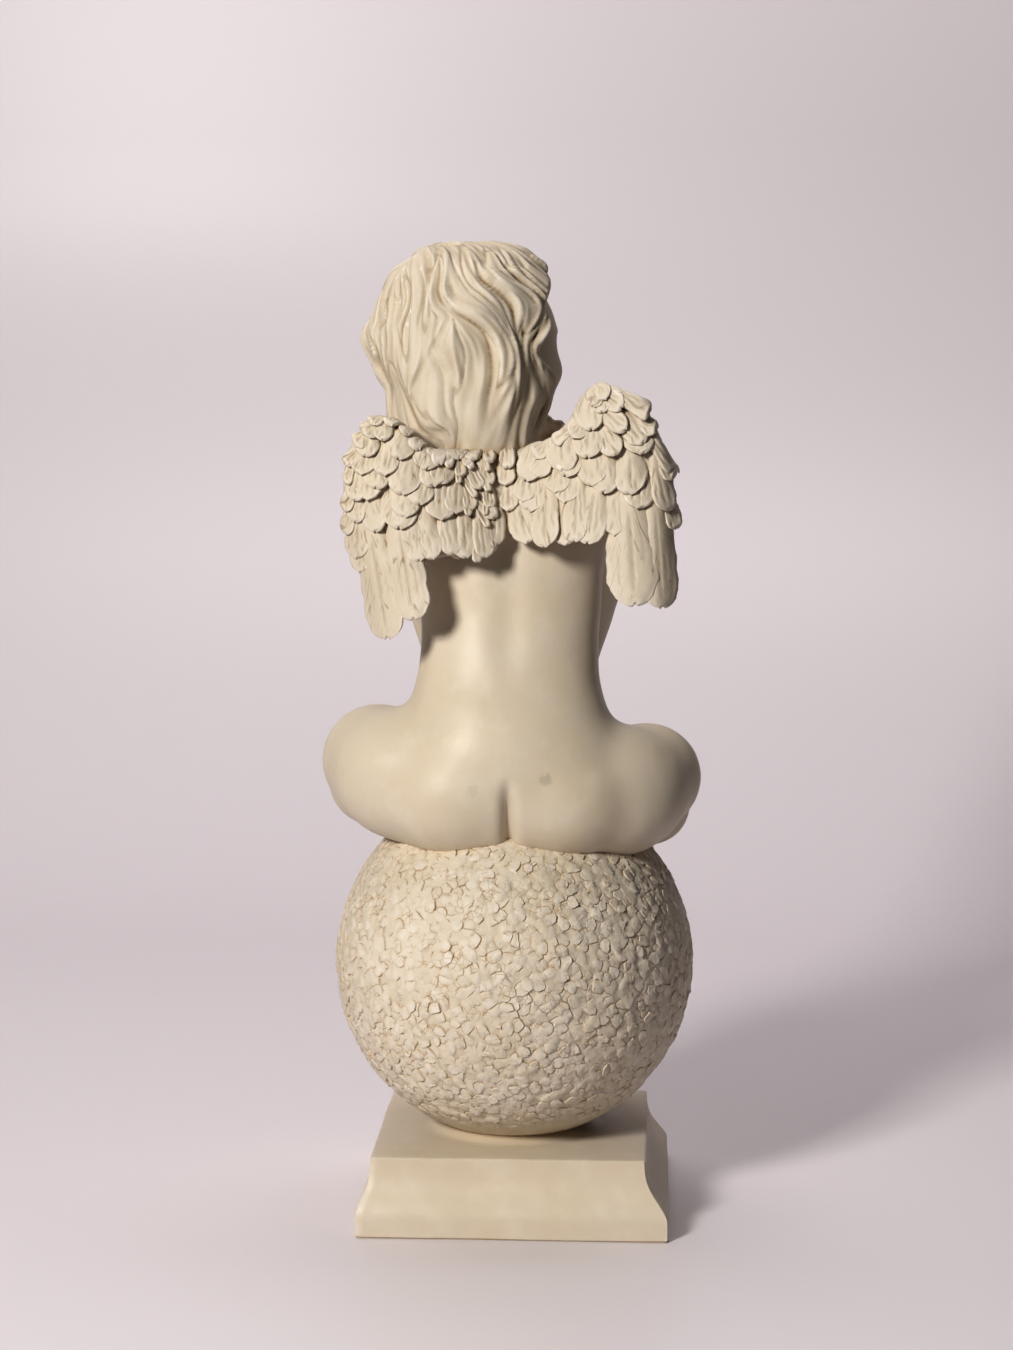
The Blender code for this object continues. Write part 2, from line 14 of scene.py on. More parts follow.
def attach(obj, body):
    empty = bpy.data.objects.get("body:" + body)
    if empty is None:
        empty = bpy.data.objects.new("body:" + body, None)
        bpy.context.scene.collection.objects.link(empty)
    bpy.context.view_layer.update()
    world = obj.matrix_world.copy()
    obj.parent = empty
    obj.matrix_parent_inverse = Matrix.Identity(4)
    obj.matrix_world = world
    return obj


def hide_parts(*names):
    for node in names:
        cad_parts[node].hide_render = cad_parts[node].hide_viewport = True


bl_info = {
    "name": "Angel Figurine",
    "version": (1, 0, 0),
    "blender": (4, 5, 0),
    "location": "3D View > Sidebar > Figurine",
    "description": "Models a cast resin angel seated on a crusted ball and its studio",
    "category": "Add Mesh",
}

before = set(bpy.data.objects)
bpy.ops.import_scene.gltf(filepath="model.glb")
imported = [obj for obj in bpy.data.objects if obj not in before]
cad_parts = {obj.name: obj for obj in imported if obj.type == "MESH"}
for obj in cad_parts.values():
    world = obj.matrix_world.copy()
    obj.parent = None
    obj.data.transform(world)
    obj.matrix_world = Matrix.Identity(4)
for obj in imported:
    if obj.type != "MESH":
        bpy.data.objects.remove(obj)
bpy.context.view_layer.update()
CASTING = "angel_figurine"

# Plinth and ball, in metres
PLINTH_WIDTH = 0.1010
PLINTH_TOP_WIDTH = 0.0895
PLINTH_HEIGHT = 0.0253
PLINTH_BAND_HEIGHT = 0.0065
TOP_OFFSET = 0.0015
MOULDING_POWER = 1.6
BALL_RADIUS = 0.0596
BALL_SINK = 0.0033
FILLET_WIDTH = 0.0110

# The figure is carved in units: 180 of them are its height from the ball's top to the crown
FIGURE_HEIGHT = 0.1802
UNITS_TALL = 180

# Head, in units and degrees
HEAD_CENTRE = Vector((14.5, -8, 145.5))
HEAD_TURN = 50
HEAD_ROLL = 10
HEAD_NOD = 7
SKULL = (26.5, 29.0, 29.5)
HAIR_SHELL = (31.6, 33.6, 31.8)
NAPE = ((0, 10, -21), (23.5, 22, 23.5))
CROWN = Vector((-0.05, 0.36, 0.93)).normalized()

# Wings, in units: outward from the root, and height over it
LEFT_WING = (1, (3, 105), 18.5)
RIGHT_WING = (-1, (2, 105), 0)
WING_THICKNESS = 6.5
TOP_EDGE = [(-4, 6), (6, 8), (14, 10.5), (18.7, 14), (22.5, 20.6), (26, 25.5), (30.8, 28.6), (37.8, 27),
            (45.8, 20.6), (51, 9.6), (54.5, 1), (58, -3)]
LOWER_EDGE = [(-4, -20), (6, -22), (14, -24), (30, -23.5), (36, -23), (50, -22), (57, -20)]
WING_DEPTH = {
    1: [(-4, 29.5), (8, 34), (18, 38), (28, 39), (40, 36.5), (50, 31), (57, 23)],
    -1: [(-4, 29.5), (8, 33), (20, 38), (32, 42), (42, 43.5), (50, 42), (57, 35)],
}
EDGE_ROLL = 5.0

# Camera, in metres and degrees; the shift is the axis's place beside the picture's middle over the focal
# length, both in the photo's pixels
PHOTO_LENS = 74.7
CAMERA_DISTANCE = 0.926
CAMERA_HEIGHT = 0.2798
CAMERA_YAW = 2.7
CAMERA_TILT = 6.3
AXIS_SHIFT = 12.7 / 2800


# ----- small helpers -----

def add_object(name, data):
    obj = bpy.data.objects.new(name, data)
    bpy.context.scene.collection.objects.link(obj)
    return obj


def mesh_object(name, points, edges, faces):
    mesh = bpy.data.meshes.new(name)
    mesh.from_pydata(points, edges, faces)
    return add_object(name, mesh)


def select_only(obj):
    bpy.ops.object.select_all(action="DESELECT")
    obj.select_set(True)
    bpy.context.view_layer.objects.active = obj


def join(objects, name):
    """One object from several, which still overlap as separate shells."""
    select_only(objects[0])
    for obj in objects[1:]:
        obj.select_set(True)
    bpy.ops.object.join()
    objects[0].name = objects[0].data.name = name
    return objects[0]


def apply_modifiers(obj):
    select_only(obj)
    for modifier in list(obj.modifiers):
        bpy.ops.object.modifier_apply(modifier=modifier.name)


def points_of(obj):
    points = np.empty(len(obj.data.vertices) * 3)
    obj.data.vertices.foreach_get("co", points)
    return points.reshape(-1, 3)


def move_points(obj, points):
    obj.data.vertices.foreach_set("co", np.ascontiguousarray(points, float).ravel())
    obj.data.update()


def paint(obj, **layers):
    """Stores numbers on the points, one to each under every name, for the material to read."""
    for name, values in layers.items():
        layer = obj.data.attributes.new(name, "FLOAT", "POINT")
        layer.data.foreach_set("value", np.ascontiguousarray(values, np.float32))


def spline(pairs, at):
    """A smooth curve through the pairs, read at the given places."""
    x, y = np.array(pairs, float).T
    at = np.clip(at, x[0], x[-1])
    slope = np.gradient(y, x)
    i = np.clip(np.searchsorted(x, at) - 1, 0, len(x) - 2)
    step = x[i + 1] - x[i]
    t = (at - x[i]) / step
    return (
        (1 + 2 * t) * (1 - t) ** 2 * y[i]
        + t * (1 - t) ** 2 * step * slope[i]
        + t**2 * (3 - 2 * t) * y[i + 1]
        + t**2 * (t - 1) * step * slope[i + 1]
    )


def smooth_line(points, count):
    """Evenly numbered places along a smooth line through the points."""
    points = np.array(points, float)
    knots = np.arange(len(points))
    at = np.linspace(0, len(points) - 1, count)
    return np.stack([spline(np.stack([knots, points[:, k]], 1), at) for k in range(points.shape[1])], 1)


def ease(value):
    """A smooth step from 0 to 1."""
    value = np.clip(value, 0, 1)
    return value * value * (3 - 2 * value)


def bell(distance, width):
    return np.exp(-((distance / width) ** 2))


def scatter(index, seed):
    """A repeatable number from 0 to 1 for each index."""
    return np.modf(np.abs(np.sin(index * 12.9898 + seed * 78.233) * 43758.5453))[0]


def soft_noise(points, size, seed):
    """Smooth noise from -1 to 1 with features of the given size, the same on every run."""
    lattice = np.random.default_rng(seed).uniform(-1, 1, (32, 32, 32))
    place = np.asarray(points) / size + 1000 + seed * 3.7
    cell = np.floor(place).astype(int)
    t = ease(place - cell)
    total = 0
    for corner in np.ndindex(2, 2, 2):
        at = (cell + corner) % 32
        weight = np.prod(np.where(corner, t, 1 - t), axis=-1)
        total = total + lattice[at[..., 0], at[..., 1], at[..., 2]] * weight
    return total


def ellipsoid(centre, radii, turn=(0, 0, 0), segments=40, rings=24):
    angles = [math.radians(a) for a in turn]
    bpy.ops.mesh.primitive_uv_sphere_add(segments=segments, ring_count=rings, location=centre, rotation=angles)
    obj = bpy.context.object
    obj.scale = radii
    bpy.ops.object.transform_apply(location=True, rotation=True, scale=True)
    return obj


def limb(stations, between=6):
    """A round limb through stations of (x, y, z, radius), with rounded ends."""
    rows = smooth_line(stations, between * (len(stations) - 1) + 1)
    curve = bpy.data.curves.new("limb", "CURVE")
    curve.dimensions = "3D"
    curve.bevel_depth = 1
    curve.bevel_resolution = 6
    curve.use_fill_caps = True
    line = curve.splines.new("POLY")
    line.points.add(len(rows) - 1)
    for point, row in zip(line.points, rows):
        point.co = (*row[:3], 1)
        point.radius = row[3]
    guide = add_object("limb", curve)
    bpy.context.view_layer.update()
    mesh = bpy.data.meshes.new_from_object(guide.evaluated_get(bpy.context.evaluated_depsgraph_get()))
    bpy.data.objects.remove(guide)
    loose = bmesh.new()
    loose.from_mesh(mesh)
    bmesh.ops.remove_doubles(loose, verts=loose.verts, dist=1e-4)
    loose.to_mesh(mesh)
    loose.free()
    tube = add_object("limb", mesh)
    ends = [ellipsoid(row[:3], (row[3],) * 3, segments=24, rings=14) for row in (rows[0], rows[-1])]
    return join([tube, *ends], "limb")


def fuse(obj, voxel, smoothing, factor=0.6):
    """Runs overlapping forms together as one soft skin."""
    remesh = obj.modifiers.new("fuse", "REMESH")
    remesh.mode = "VOXEL"
    remesh.voxel_size = voxel
    smooth = obj.modifiers.new("soften", "SMOOTH")
    smooth.factor = factor
    smooth.iterations = smoothing
    apply_modifiers(obj)


def ball_centre():
    look = bpy.context.scene.figurine
    return Vector((TOP_OFFSET, 0, look.plinth_height + look.ball_radius - BALL_SINK))


def set_on_ball(obj):
    """From figure units to metres, on top of the ball."""
    look = bpy.context.scene.figurine
    top = ball_centre() + Vector((0, 0, look.ball_radius))
    obj.data.transform(Matrix.Translation(top) @ Matrix.Scale(look.figure_height / UNITS_TALL, 4))
    obj.data.update()


def finish_piece(obj, material, angle=None):
    """Shades a finished piece, gives it its material, and ties it to the casting."""
    select_only(obj)
    if angle is None:
        bpy.ops.object.shade_smooth()
    else:
        bpy.ops.object.shade_smooth_by_angle(angle=math.radians(angle))
    obj.data.materials.clear()
    obj.data.materials.append(material)
    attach(obj, "root")
    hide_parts(CASTING)


# ----- shader expressions -----

class Value:
    """A shader socket that can be written into sums."""

    def __init__(self, shader, socket):
        self.shader = shader
        self.socket = socket

    def maths(self, operation, *others, clamp=False):
        values = {0: self.socket}
        for place, other in enumerate(others, 1):
            values[place] = other.socket if isinstance(other, Value) else other
        return self.shader.node("ShaderNodeMath", {"operation": operation, "use_clamp": clamp}, values)

    def __add__(self, other):
        return self.maths("ADD", other)

    __radd__ = __add__

    def __mul__(self, other):
        return self.maths("MULTIPLY", other)

    __rmul__ = __mul__

    def __sub__(self, other):
        return self.maths("SUBTRACT", other)

    def __rsub__(self, other):
        return self * -1 + other

    def power(self, other):
        return self.maths("POWER", other)

    def limit(self):
        return self.maths("ADD", 0, clamp=True)

    def ramp(self, low, high):
        """0 below low, 1 above high, smooth between."""
        settings = {"interpolation_type": "SMOOTHSTEP"}
        return self.shader.node("ShaderNodeMapRange", settings, {0: self.socket, 1: low, 2: high})


class Shader:
    """Builds a material's nodes."""

    def __init__(self, name):
        self.material = bpy.data.materials.new(name)
        self.material.use_nodes = True
        self.tree = self.material.node_tree
        self.surface = self.tree.nodes["Principled BSDF"]

    def node(self, kind, settings=None, values=None, output=0):
        made = self.tree.nodes.new(kind)
        for name, setting in (settings or {}).items():
            setattr(made, name, setting)
        for place, value in (values or {}).items():
            self.link(made.inputs[place], value)
        return Value(self, made.outputs[output])

    def link(self, socket, value):
        if isinstance(value, Value):
            value = value.socket
        if isinstance(value, bpy.types.NodeSocket):
            self.tree.links.new(value, socket)
        else:
            socket.default_value = value

    def mix(self, factor, first, second):
        values = {"Factor": factor, 6: first, 7: second}
        return self.node("ShaderNodeMix", {"data_type": "RGBA"}, values, output=2)

    def place(self):
        return self.node("ShaderNodeTexCoord", output=3)

    def noise(self, scale, detail=3, roughness=0.55, at=None):
        values = {"Vector": at or self.place(), "Scale": scale, "Detail": detail, "Roughness": roughness}
        return self.node("ShaderNodeTexNoise", None, values)

    def attribute(self, name):
        return self.node("ShaderNodeAttribute", {"attribute_name": name}, output=2)

    def vector(self, x, y, z):
        return self.node("ShaderNodeCombineXYZ", None, {0: x, 1: y, 2: z})

    def spot(self, centre, radius, softness=0.4):
        """1 inside a small round mark on the surface, 0 outside."""
        wobble = self.noise(900, 2) - 0.5
        away = self.node("ShaderNodeVectorMath", {"operation": "DISTANCE"}, {0: self.place(), 1: centre}, output=1)
        return 1 - (away + wobble * (radius * 1.1)).ramp(radius * (1 - softness), radius)


def colour(value):
    return (*value[:3], 1)


def feather_cuts(shader):
    """Fine cuts that run along each feather, and the grain between them."""
    barb, back, seed = (shader.attribute(name) for name in ("barb", "back", "seed"))
    middle = shader.noise(1, 0, at=shader.vector(barb * 0.62, back * 0.05, seed * 7.3)) - 0.5
    few = shader.noise(1, 1, at=shader.vector(barb * 0.5 + 31.0, back * 0.20, seed * 3.1)).ramp(0.50, 0.60)
    fine = shader.noise(1, 2, at=shader.vector(barb * 3.4, back * 0.16, seed * 5.9))
    return (1 - (middle * middle).ramp(0.0, 0.0009)) * few, fine


def hair_strands(shader):
    """Faint strands that follow the combed locks."""
    comb, tress = shader.attribute("comb"), shader.attribute("tress")
    fine = shader.noise(1, 2, at=shader.vector(comb * 3.0 + tress * 4.5, 3.0, 0.0))
    between = (1 - (comb * comb).ramp(0.0, 0.010)) * shader.noise(150, 2).ramp(0.38, 0.55)
    return (between * 0.55 + fine.ramp(0.52, 0.74) * 0.20) * shader.attribute("cover"), fine


def resin(name, grooves=1.0, dry_brush=0.0, gloss=0.4, marks=(), lines=None, grain=1.0, plates=False,
          specular=0.30):
    """Cream resin: darker wash in the grooves with painted shade in hollows and creases, pale worn highs, faint
    stains and a soft gloss. Lines makes the cuts of feathers or hair, and plates adds the crust's fine cracks."""
    look = bpy.context.scene.figurine
    shader = Shader(name)
    cavity = shader.node("ShaderNodeAmbientOcclusion", {"samples": 8, "only_local": False}, {"Distance": 0.004}, 1)
    bend = shader.node("ShaderNodeNewGeometry", output=7)
    broad = shader.noise(28, 3)
    cloud = shader.noise(95, 4)
    fleck = shader.noise(520, 3)
    base = shader.mix(broad.ramp(0.35, 0.68) * 0.6, colour(look.cream), colour(look.cream_warm))
    base = shader.mix(cloud.ramp(0.48, 0.72) * 0.35, base, colour(look.cream_pale))
    base = shader.mix(fleck.ramp(0.55, 0.75) * 0.14 * (1 - cloud.ramp(0.4, 0.7)), base, colour(look.stain_and_shade))
    pale = (shader.attribute("pale") * 0.9 + cloud * 0.5 - 0.30).limit()
    base = shader.mix(pale * (0.85 if plates else 0.5), base, colour(look.plate))
    if plates:
        swerve = shader.node("ShaderNodeTexNoise", None, {"Vector": shader.place(), "Scale": 330, "Detail": 2}, 1)
        bent = shader.node("ShaderNodeVectorMath", {"operation": "MULTIPLY_ADD"},
                           {0: swerve, 1: (0.0022, 0.0022, 0.0022), 2: shader.place()})
        edge = shader.node("ShaderNodeTexVoronoi", {"feature": "DISTANCE_TO_EDGE"}, {"Vector": bent, "Scale": 330})
        cracks = (1 - edge.ramp(0.0, 0.055)) * shader.noise(190, 2).ramp(0.50, 0.60)
        base = shader.mix(shader.noise(110, 3).ramp(0.60, 0.75) * 0.35, base, colour(look.stain_and_shade))
    # Painted shade together with the wash: ambient occlusion marks hollows and pointiness marks concave creases, and
    # both darken the colour there
    hollow_wash_and_shade = 1 - cavity.ramp(0.12, 0.74)
    crease_wash_and_shade = 1 - bend.ramp(0.40, 0.50)
    # Painted shade and tan stain, laid into the hollows that ambient occlusion finds
    base = shader.mix((hollow_wash_and_shade * 0.7 * grooves).limit(), base, colour(look.stain_and_shade))
    # Wash mask: painted shade from the hollows and creases, added to the wash painted along grooves
    wash = (hollow_wash_and_shade.power(2.0) * 0.55 + crease_wash_and_shade * 0.45 + shader.attribute("wash") * 0.9) * grooves
    wash = (wash * (0.65 + cloud * 0.7)).limit()
    height = shader.noise(1500, 2) * 0.3 + fleck * 0.7 * grain
    if plates:
        wash = (wash * 0.8 + cracks * 0.6).limit()
        height = height - cracks * 1.2 + edge.ramp(0.0, 0.3) * 0.6
    if lines:
        cut, fine = lines(shader)
        wash = (wash + cut * 0.75 * grooves).limit()
        height = height + fine * 1.1 - cut * 1.6
    # Wash colour laid over that mask, which also paints shade into hollows and creases
    base = shader.mix(wash, base, colour(look.crack if plates else look.wash))
    if dry_brush:
        highs = bend.ramp(0.501, 0.57) * cavity.ramp(0.40, 0.90) * shader.noise(260, 3).ramp(0.30, 0.60)
        base = shader.mix((highs * dry_brush * (1 - wash)).limit(), base, colour(look.chalk))
    for centre, radius, strength, tint in marks:
        base = shader.mix(shader.spot(centre, radius) * strength, base, colour(tint))
    shader.link(shader.surface.inputs["Base Color"], base)
    rough = gloss + cloud * 0.16 + wash * 0.25
    shader.link(shader.surface.inputs["Roughness"], rough.limit())
    shader.surface.inputs["Specular IOR Level"].default_value = specular
    bump = shader.node("ShaderNodeBump", None, {"Strength": 0.16 * grain, "Distance": 0.0004, "Height": height})
    shader.link(shader.surface.inputs["Normal"], bump)
    return shader.material


# ----- body -----

# Cross sections of the trunk: height, middle across, middle depth, half width, half depth
TRUNK = [(-21, 0, 18, 10, 7), (-18, 0, 18, 24, 16), (-10, 0, 18.5, 35, 23.5), (2, 0.3, 19.5, 39, 26.5),
         (15, 0.8, 19.5, 37.5, 26), (28, 1.5, 16.5, 32.5, 24.5), (38.5, 1.3, 13.5, 29.8, 22.5),
         (49, 0.9, 11.5, 29.3, 21), (62, 0.8, 10, 30, 20), (75, 0.8, 9.5, 31, 19.5), (86, 0.8, 8.5, 32, 18.5),
         (96, 1, 7.5, 29, 16), (103, 1.5, 6.5, 20, 11)]


def trunk():
    """Pelvis, belly, chest and shoulders as one smooth loft."""
    around, levels = 64, 80
    rows = np.linspace(TRUNK[0][0], TRUNK[-1][0], levels)
    middle_x, middle_y, half_x, half_y = (spline([(row[0], row[k]) for row in TRUNK], rows) for k in (1, 2, 3, 4))
    turn = np.linspace(0, 2 * math.pi, around, endpoint=False)
    wide = np.sign(np.cos(turn)) * np.abs(np.cos(turn)) ** 0.88
    deep = np.sign(np.sin(turn)) * np.abs(np.sin(turn)) ** 0.88
    x = middle_x[:, None] + half_x[:, None] * wide
    y = middle_y[:, None] + half_y[:, None] * deep
    points = np.stack([x, y, np.broadcast_to(rows[:, None], x.shape)], -1).reshape(-1, 3)
    faces = [tuple(range(around))[::-1], tuple(range(around * (levels - 1), around * levels))]
    for i in range(levels - 1):
        for j in range(around):
            k = (j + 1) % around
            faces.append((i * around + j, i * around + k, (i + 1) * around + k, (i + 1) * around + j))
    return mesh_object("trunk", points.tolist(), [], faces)


def seat():
    """Trunk, buttocks and spread thighs."""
    return [
        trunk(),
        ellipsoid((16, 21.5, 0), (27, 25, 22)),
        ellipsoid((-16, 21.5, -0.5), (27, 25, 22)),
        limb([(19, 18, 5, 24.5), (36, 12.5, 5, 23), (45.5, 0, 7.5, 19.5)]),
        limb([(-19, 18, 2, 23.8), (-35, 13.5, 0.4, 22.8), (-44.5, 2, 3, 18.3)]),
    ]


def shins():
    """Shins that cross in front, with the feet on the ball."""
    return [
        limb([(48.5, -15, -1.5, 15.5), (27, -36, -1, 12.5), (-4, -45, -8, 8.5)]),
        limb([(-44.5, -15, -8.5, 14.5), (-25, -32, -5, 12), (9, -35, -5, 8.5)]),
        limb([(-5, -43, -10, 8), (-20, -43, -14, 7.5), (-37, -36, -18.5, 6)]),
        limb([(11, -37, -9, 8), (21, -42, -15, 7.5), (31, -41, -19, 6)]),
    ]


def arms():
    """Neck, nape and arms: the right forearm stands up to the chin, and the left one lies across the lap."""
    return [
        limb([(2, 8, 94, 15), (6, 1, 108, 13.5), (10, -3, 122, 13.5)]),
        limb([(-27, 4, 97, 12.5), (-26, -13, 70, 10.6), (-18, -33, 38, 9)]),
        limb([(-18, -33, 38, 9), (-16, -34, 66, 9), (-11.5, -28, 98, 6.5)]),
        limb([(27, 4, 96, 12.5), (27.5, -12, 66, 10.8), (21, -22, 35, 9)]),
        limb([(21, -22, 35, 9), (9, -32, 31, 9), (-5, -39, 28, 6.5)]),
        ellipsoid((5, 15, 104), (24, 12, 10)),
    ]


def fingers(palm, reach, spread, curl, count=4, length=12, radius=2.4):
    """Bent fingers side by side: reach is the way they point, spread the way from one to the next."""
    reach, spread, curl = (Vector(v).normalized() for v in (reach, spread, curl))
    made = []
    for i in range(count):
        start = Vector(palm) + spread * (i - (count - 1) / 2) * radius * 1.75
        size = length * (0.82, 0.97, 1.0, 0.9)[i]
        middle = start + reach * size * 0.6 + curl * size * 0.1
        tip = start + reach * size * 0.85 + curl * size * 0.5
        made.append(limb([(*start, radius), (*middle, radius), (*tip, radius * 0.85)], between=4))
    return made


def hands():
    """A loose fist under the chin, and a hand laid under that elbow."""
    return [
        ellipsoid((-11, -26.5, 106), (7.5, 6, 9), (10, 0, 25)),
        *fingers((-10.5, -29.5, 110), (0.1, -0.4, 0.9), (0.85, -0.45, 0), (0.3, 0.9, 0.2)),
        limb([(-16.5, -23.5, 105, 3), (-18.5, -20.5, 112, 2.8), (-16.5, -17.5, 117, 2.4)], between=4),
        ellipsoid((-12, -40, 27.5), (9, 6, 5.5), (0, 0, 8)),
        *fingers((-18, -38.5, 28.5), (-0.8, 0.5, 0.2), (0, 0.5, -0.85), (0.3, 1, 0.3), length=9),
    ]


def toes():
    """Five toes on each foot, the big one first."""
    made = []
    for ball_of_foot, reach in (((-39, -34, -19.5), (-1, 0.35, -0.12)), ((32, -41, -20), (1, 0.1, -0.3))):
        reach = Vector(reach).normalized()
        for i in range(5):
            start = Vector(ball_of_foot) + Vector((0, 1, 0.25)).normalized() * (i - 2) * 2.7
            radius = 2.7 if i == 0 else 2.0
            tip = start + reach * (8.0 - 0.7 * i)
            made.append(limb([(*start, radius), (*tip, radius)], between=2))
    return made


def model_back(obj):
    """Furrow of the spine, the cleft, and a faint ripple over the skin."""
    points = points_of(obj)
    x, y, z = points.T
    behind = ease((y - 14) / 12)
    spine = 0.9 * bell(x - 0.5, 5.5) * ease((z - 30) / 22) * ease((98 - z) / 20)
    cleft = 4.6 * np.exp(-(np.abs(x) / 1.9) ** 1.5) * ease((10 - z) / 14) * ease((y - 22) / 14)
    points[:, 1] -= spine * behind + cleft
    points += 0.10 * np.stack([soft_noise(points, 7, seed) for seed in (1, 2, 3)], 1)
    move_points(obj, points)


class FIGURINE_OT_body(Operator):
    """Model the seated child's body with its arms, legs, hands and feet"""

    bl_idname = "figurine.body"
    bl_label = "Body"

    def execute(self, context):
        trunk_and_thighs = join(seat(), "seat")
        fuse(trunk_and_thighs, 1.6, 32)
        skin = join([trunk_and_thighs, *shins(), *arms()], "skin")
        fuse(skin, 1.1, 12)
        body = join([skin, *hands(), *toes()], "body")
        fuse(body, 1.0, 3)
        model_back(body)
        set_on_ball(body)
        look = context.scene.figurine
        marks = [
            ((0.0128, 0.0412, 0.1580), 0.0036, 0.30, look.stain_and_shade),
            ((0.0125, 0.0454, 0.1457), 0.0024, 0.16, look.smudge),
            ((-0.0103, 0.0444, 0.1490), 0.0026, 0.38, look.smudge),
        ]
        finish_piece(body, resin("body_resin", grooves=0.55, gloss=0.35, marks=marks, specular=0.31))
        return {"FINISHED"}


# ----- head -----

# Face: name, height, centre across and up, reach across and up; one off the middle is made on both sides
FACE_FORMS = [
    ("forehead", 1.6, 0, 8, 15, 8),
    ("brow", 0.9, 9.5, 2.6, 6, 1.8),
    ("socket", -3.6, 9.3, -3.2, 5.4, 3.7),
    ("eyeball", 2.9, 9.5, -4.0, 3.7, 2.5),
    ("lid_crease", -0.7, 9.5, -1.5, 4.2, 0.6),
    ("lash_line", -0.6, 9.5, -5.0, 3.9, 0.55),
    ("nose_bridge", 2.4, 0, -3.5, 1.9, 5.0),
    ("nose_tip", 4.8, 0, -9.3, 2.5, 2.4),
    ("nostril_wing", 2.2, 3.0, -10.2, 1.5, 1.5),
    ("under_nose", -1.6, 1.4, -12.3, 1.3, 0.8),
    ("muzzle", 6.5, 0, -19, 11, 9),
    ("upper_lip", 1.7, 1.9, -14.9, 2.3, 1.0),
    ("lower_lip", 2.1, 0, -17.5, 2.9, 1.2),
    ("mouth_line", -1.6, 0, -16.1, 4.8, 0.5),
    ("mouth_corner", -1.2, 5.3, -16.0, 1.3, 1.1),
    ("chin_hollow", -1.3, 0, -20.2, 3.6, 1.3),
    ("chin", 3.0, 0, -24, 4.6, 3.6),
    ("cheek", 3.2, 13.8, -12, 6.8, 7),
]

# Where hair begins, in degrees from the face's middle: across, up and down; how far down that middle lies; how
# much narrower the opening is beside the jaw; and the softness of its edge there and above
FACE_ACROSS, FACE_UP, FACE_DOWN = 74, 52, 108
FACE_LOW = 14
JAW_NARROWING = 0.30
HAIRLINE = (0.13, 0.22)

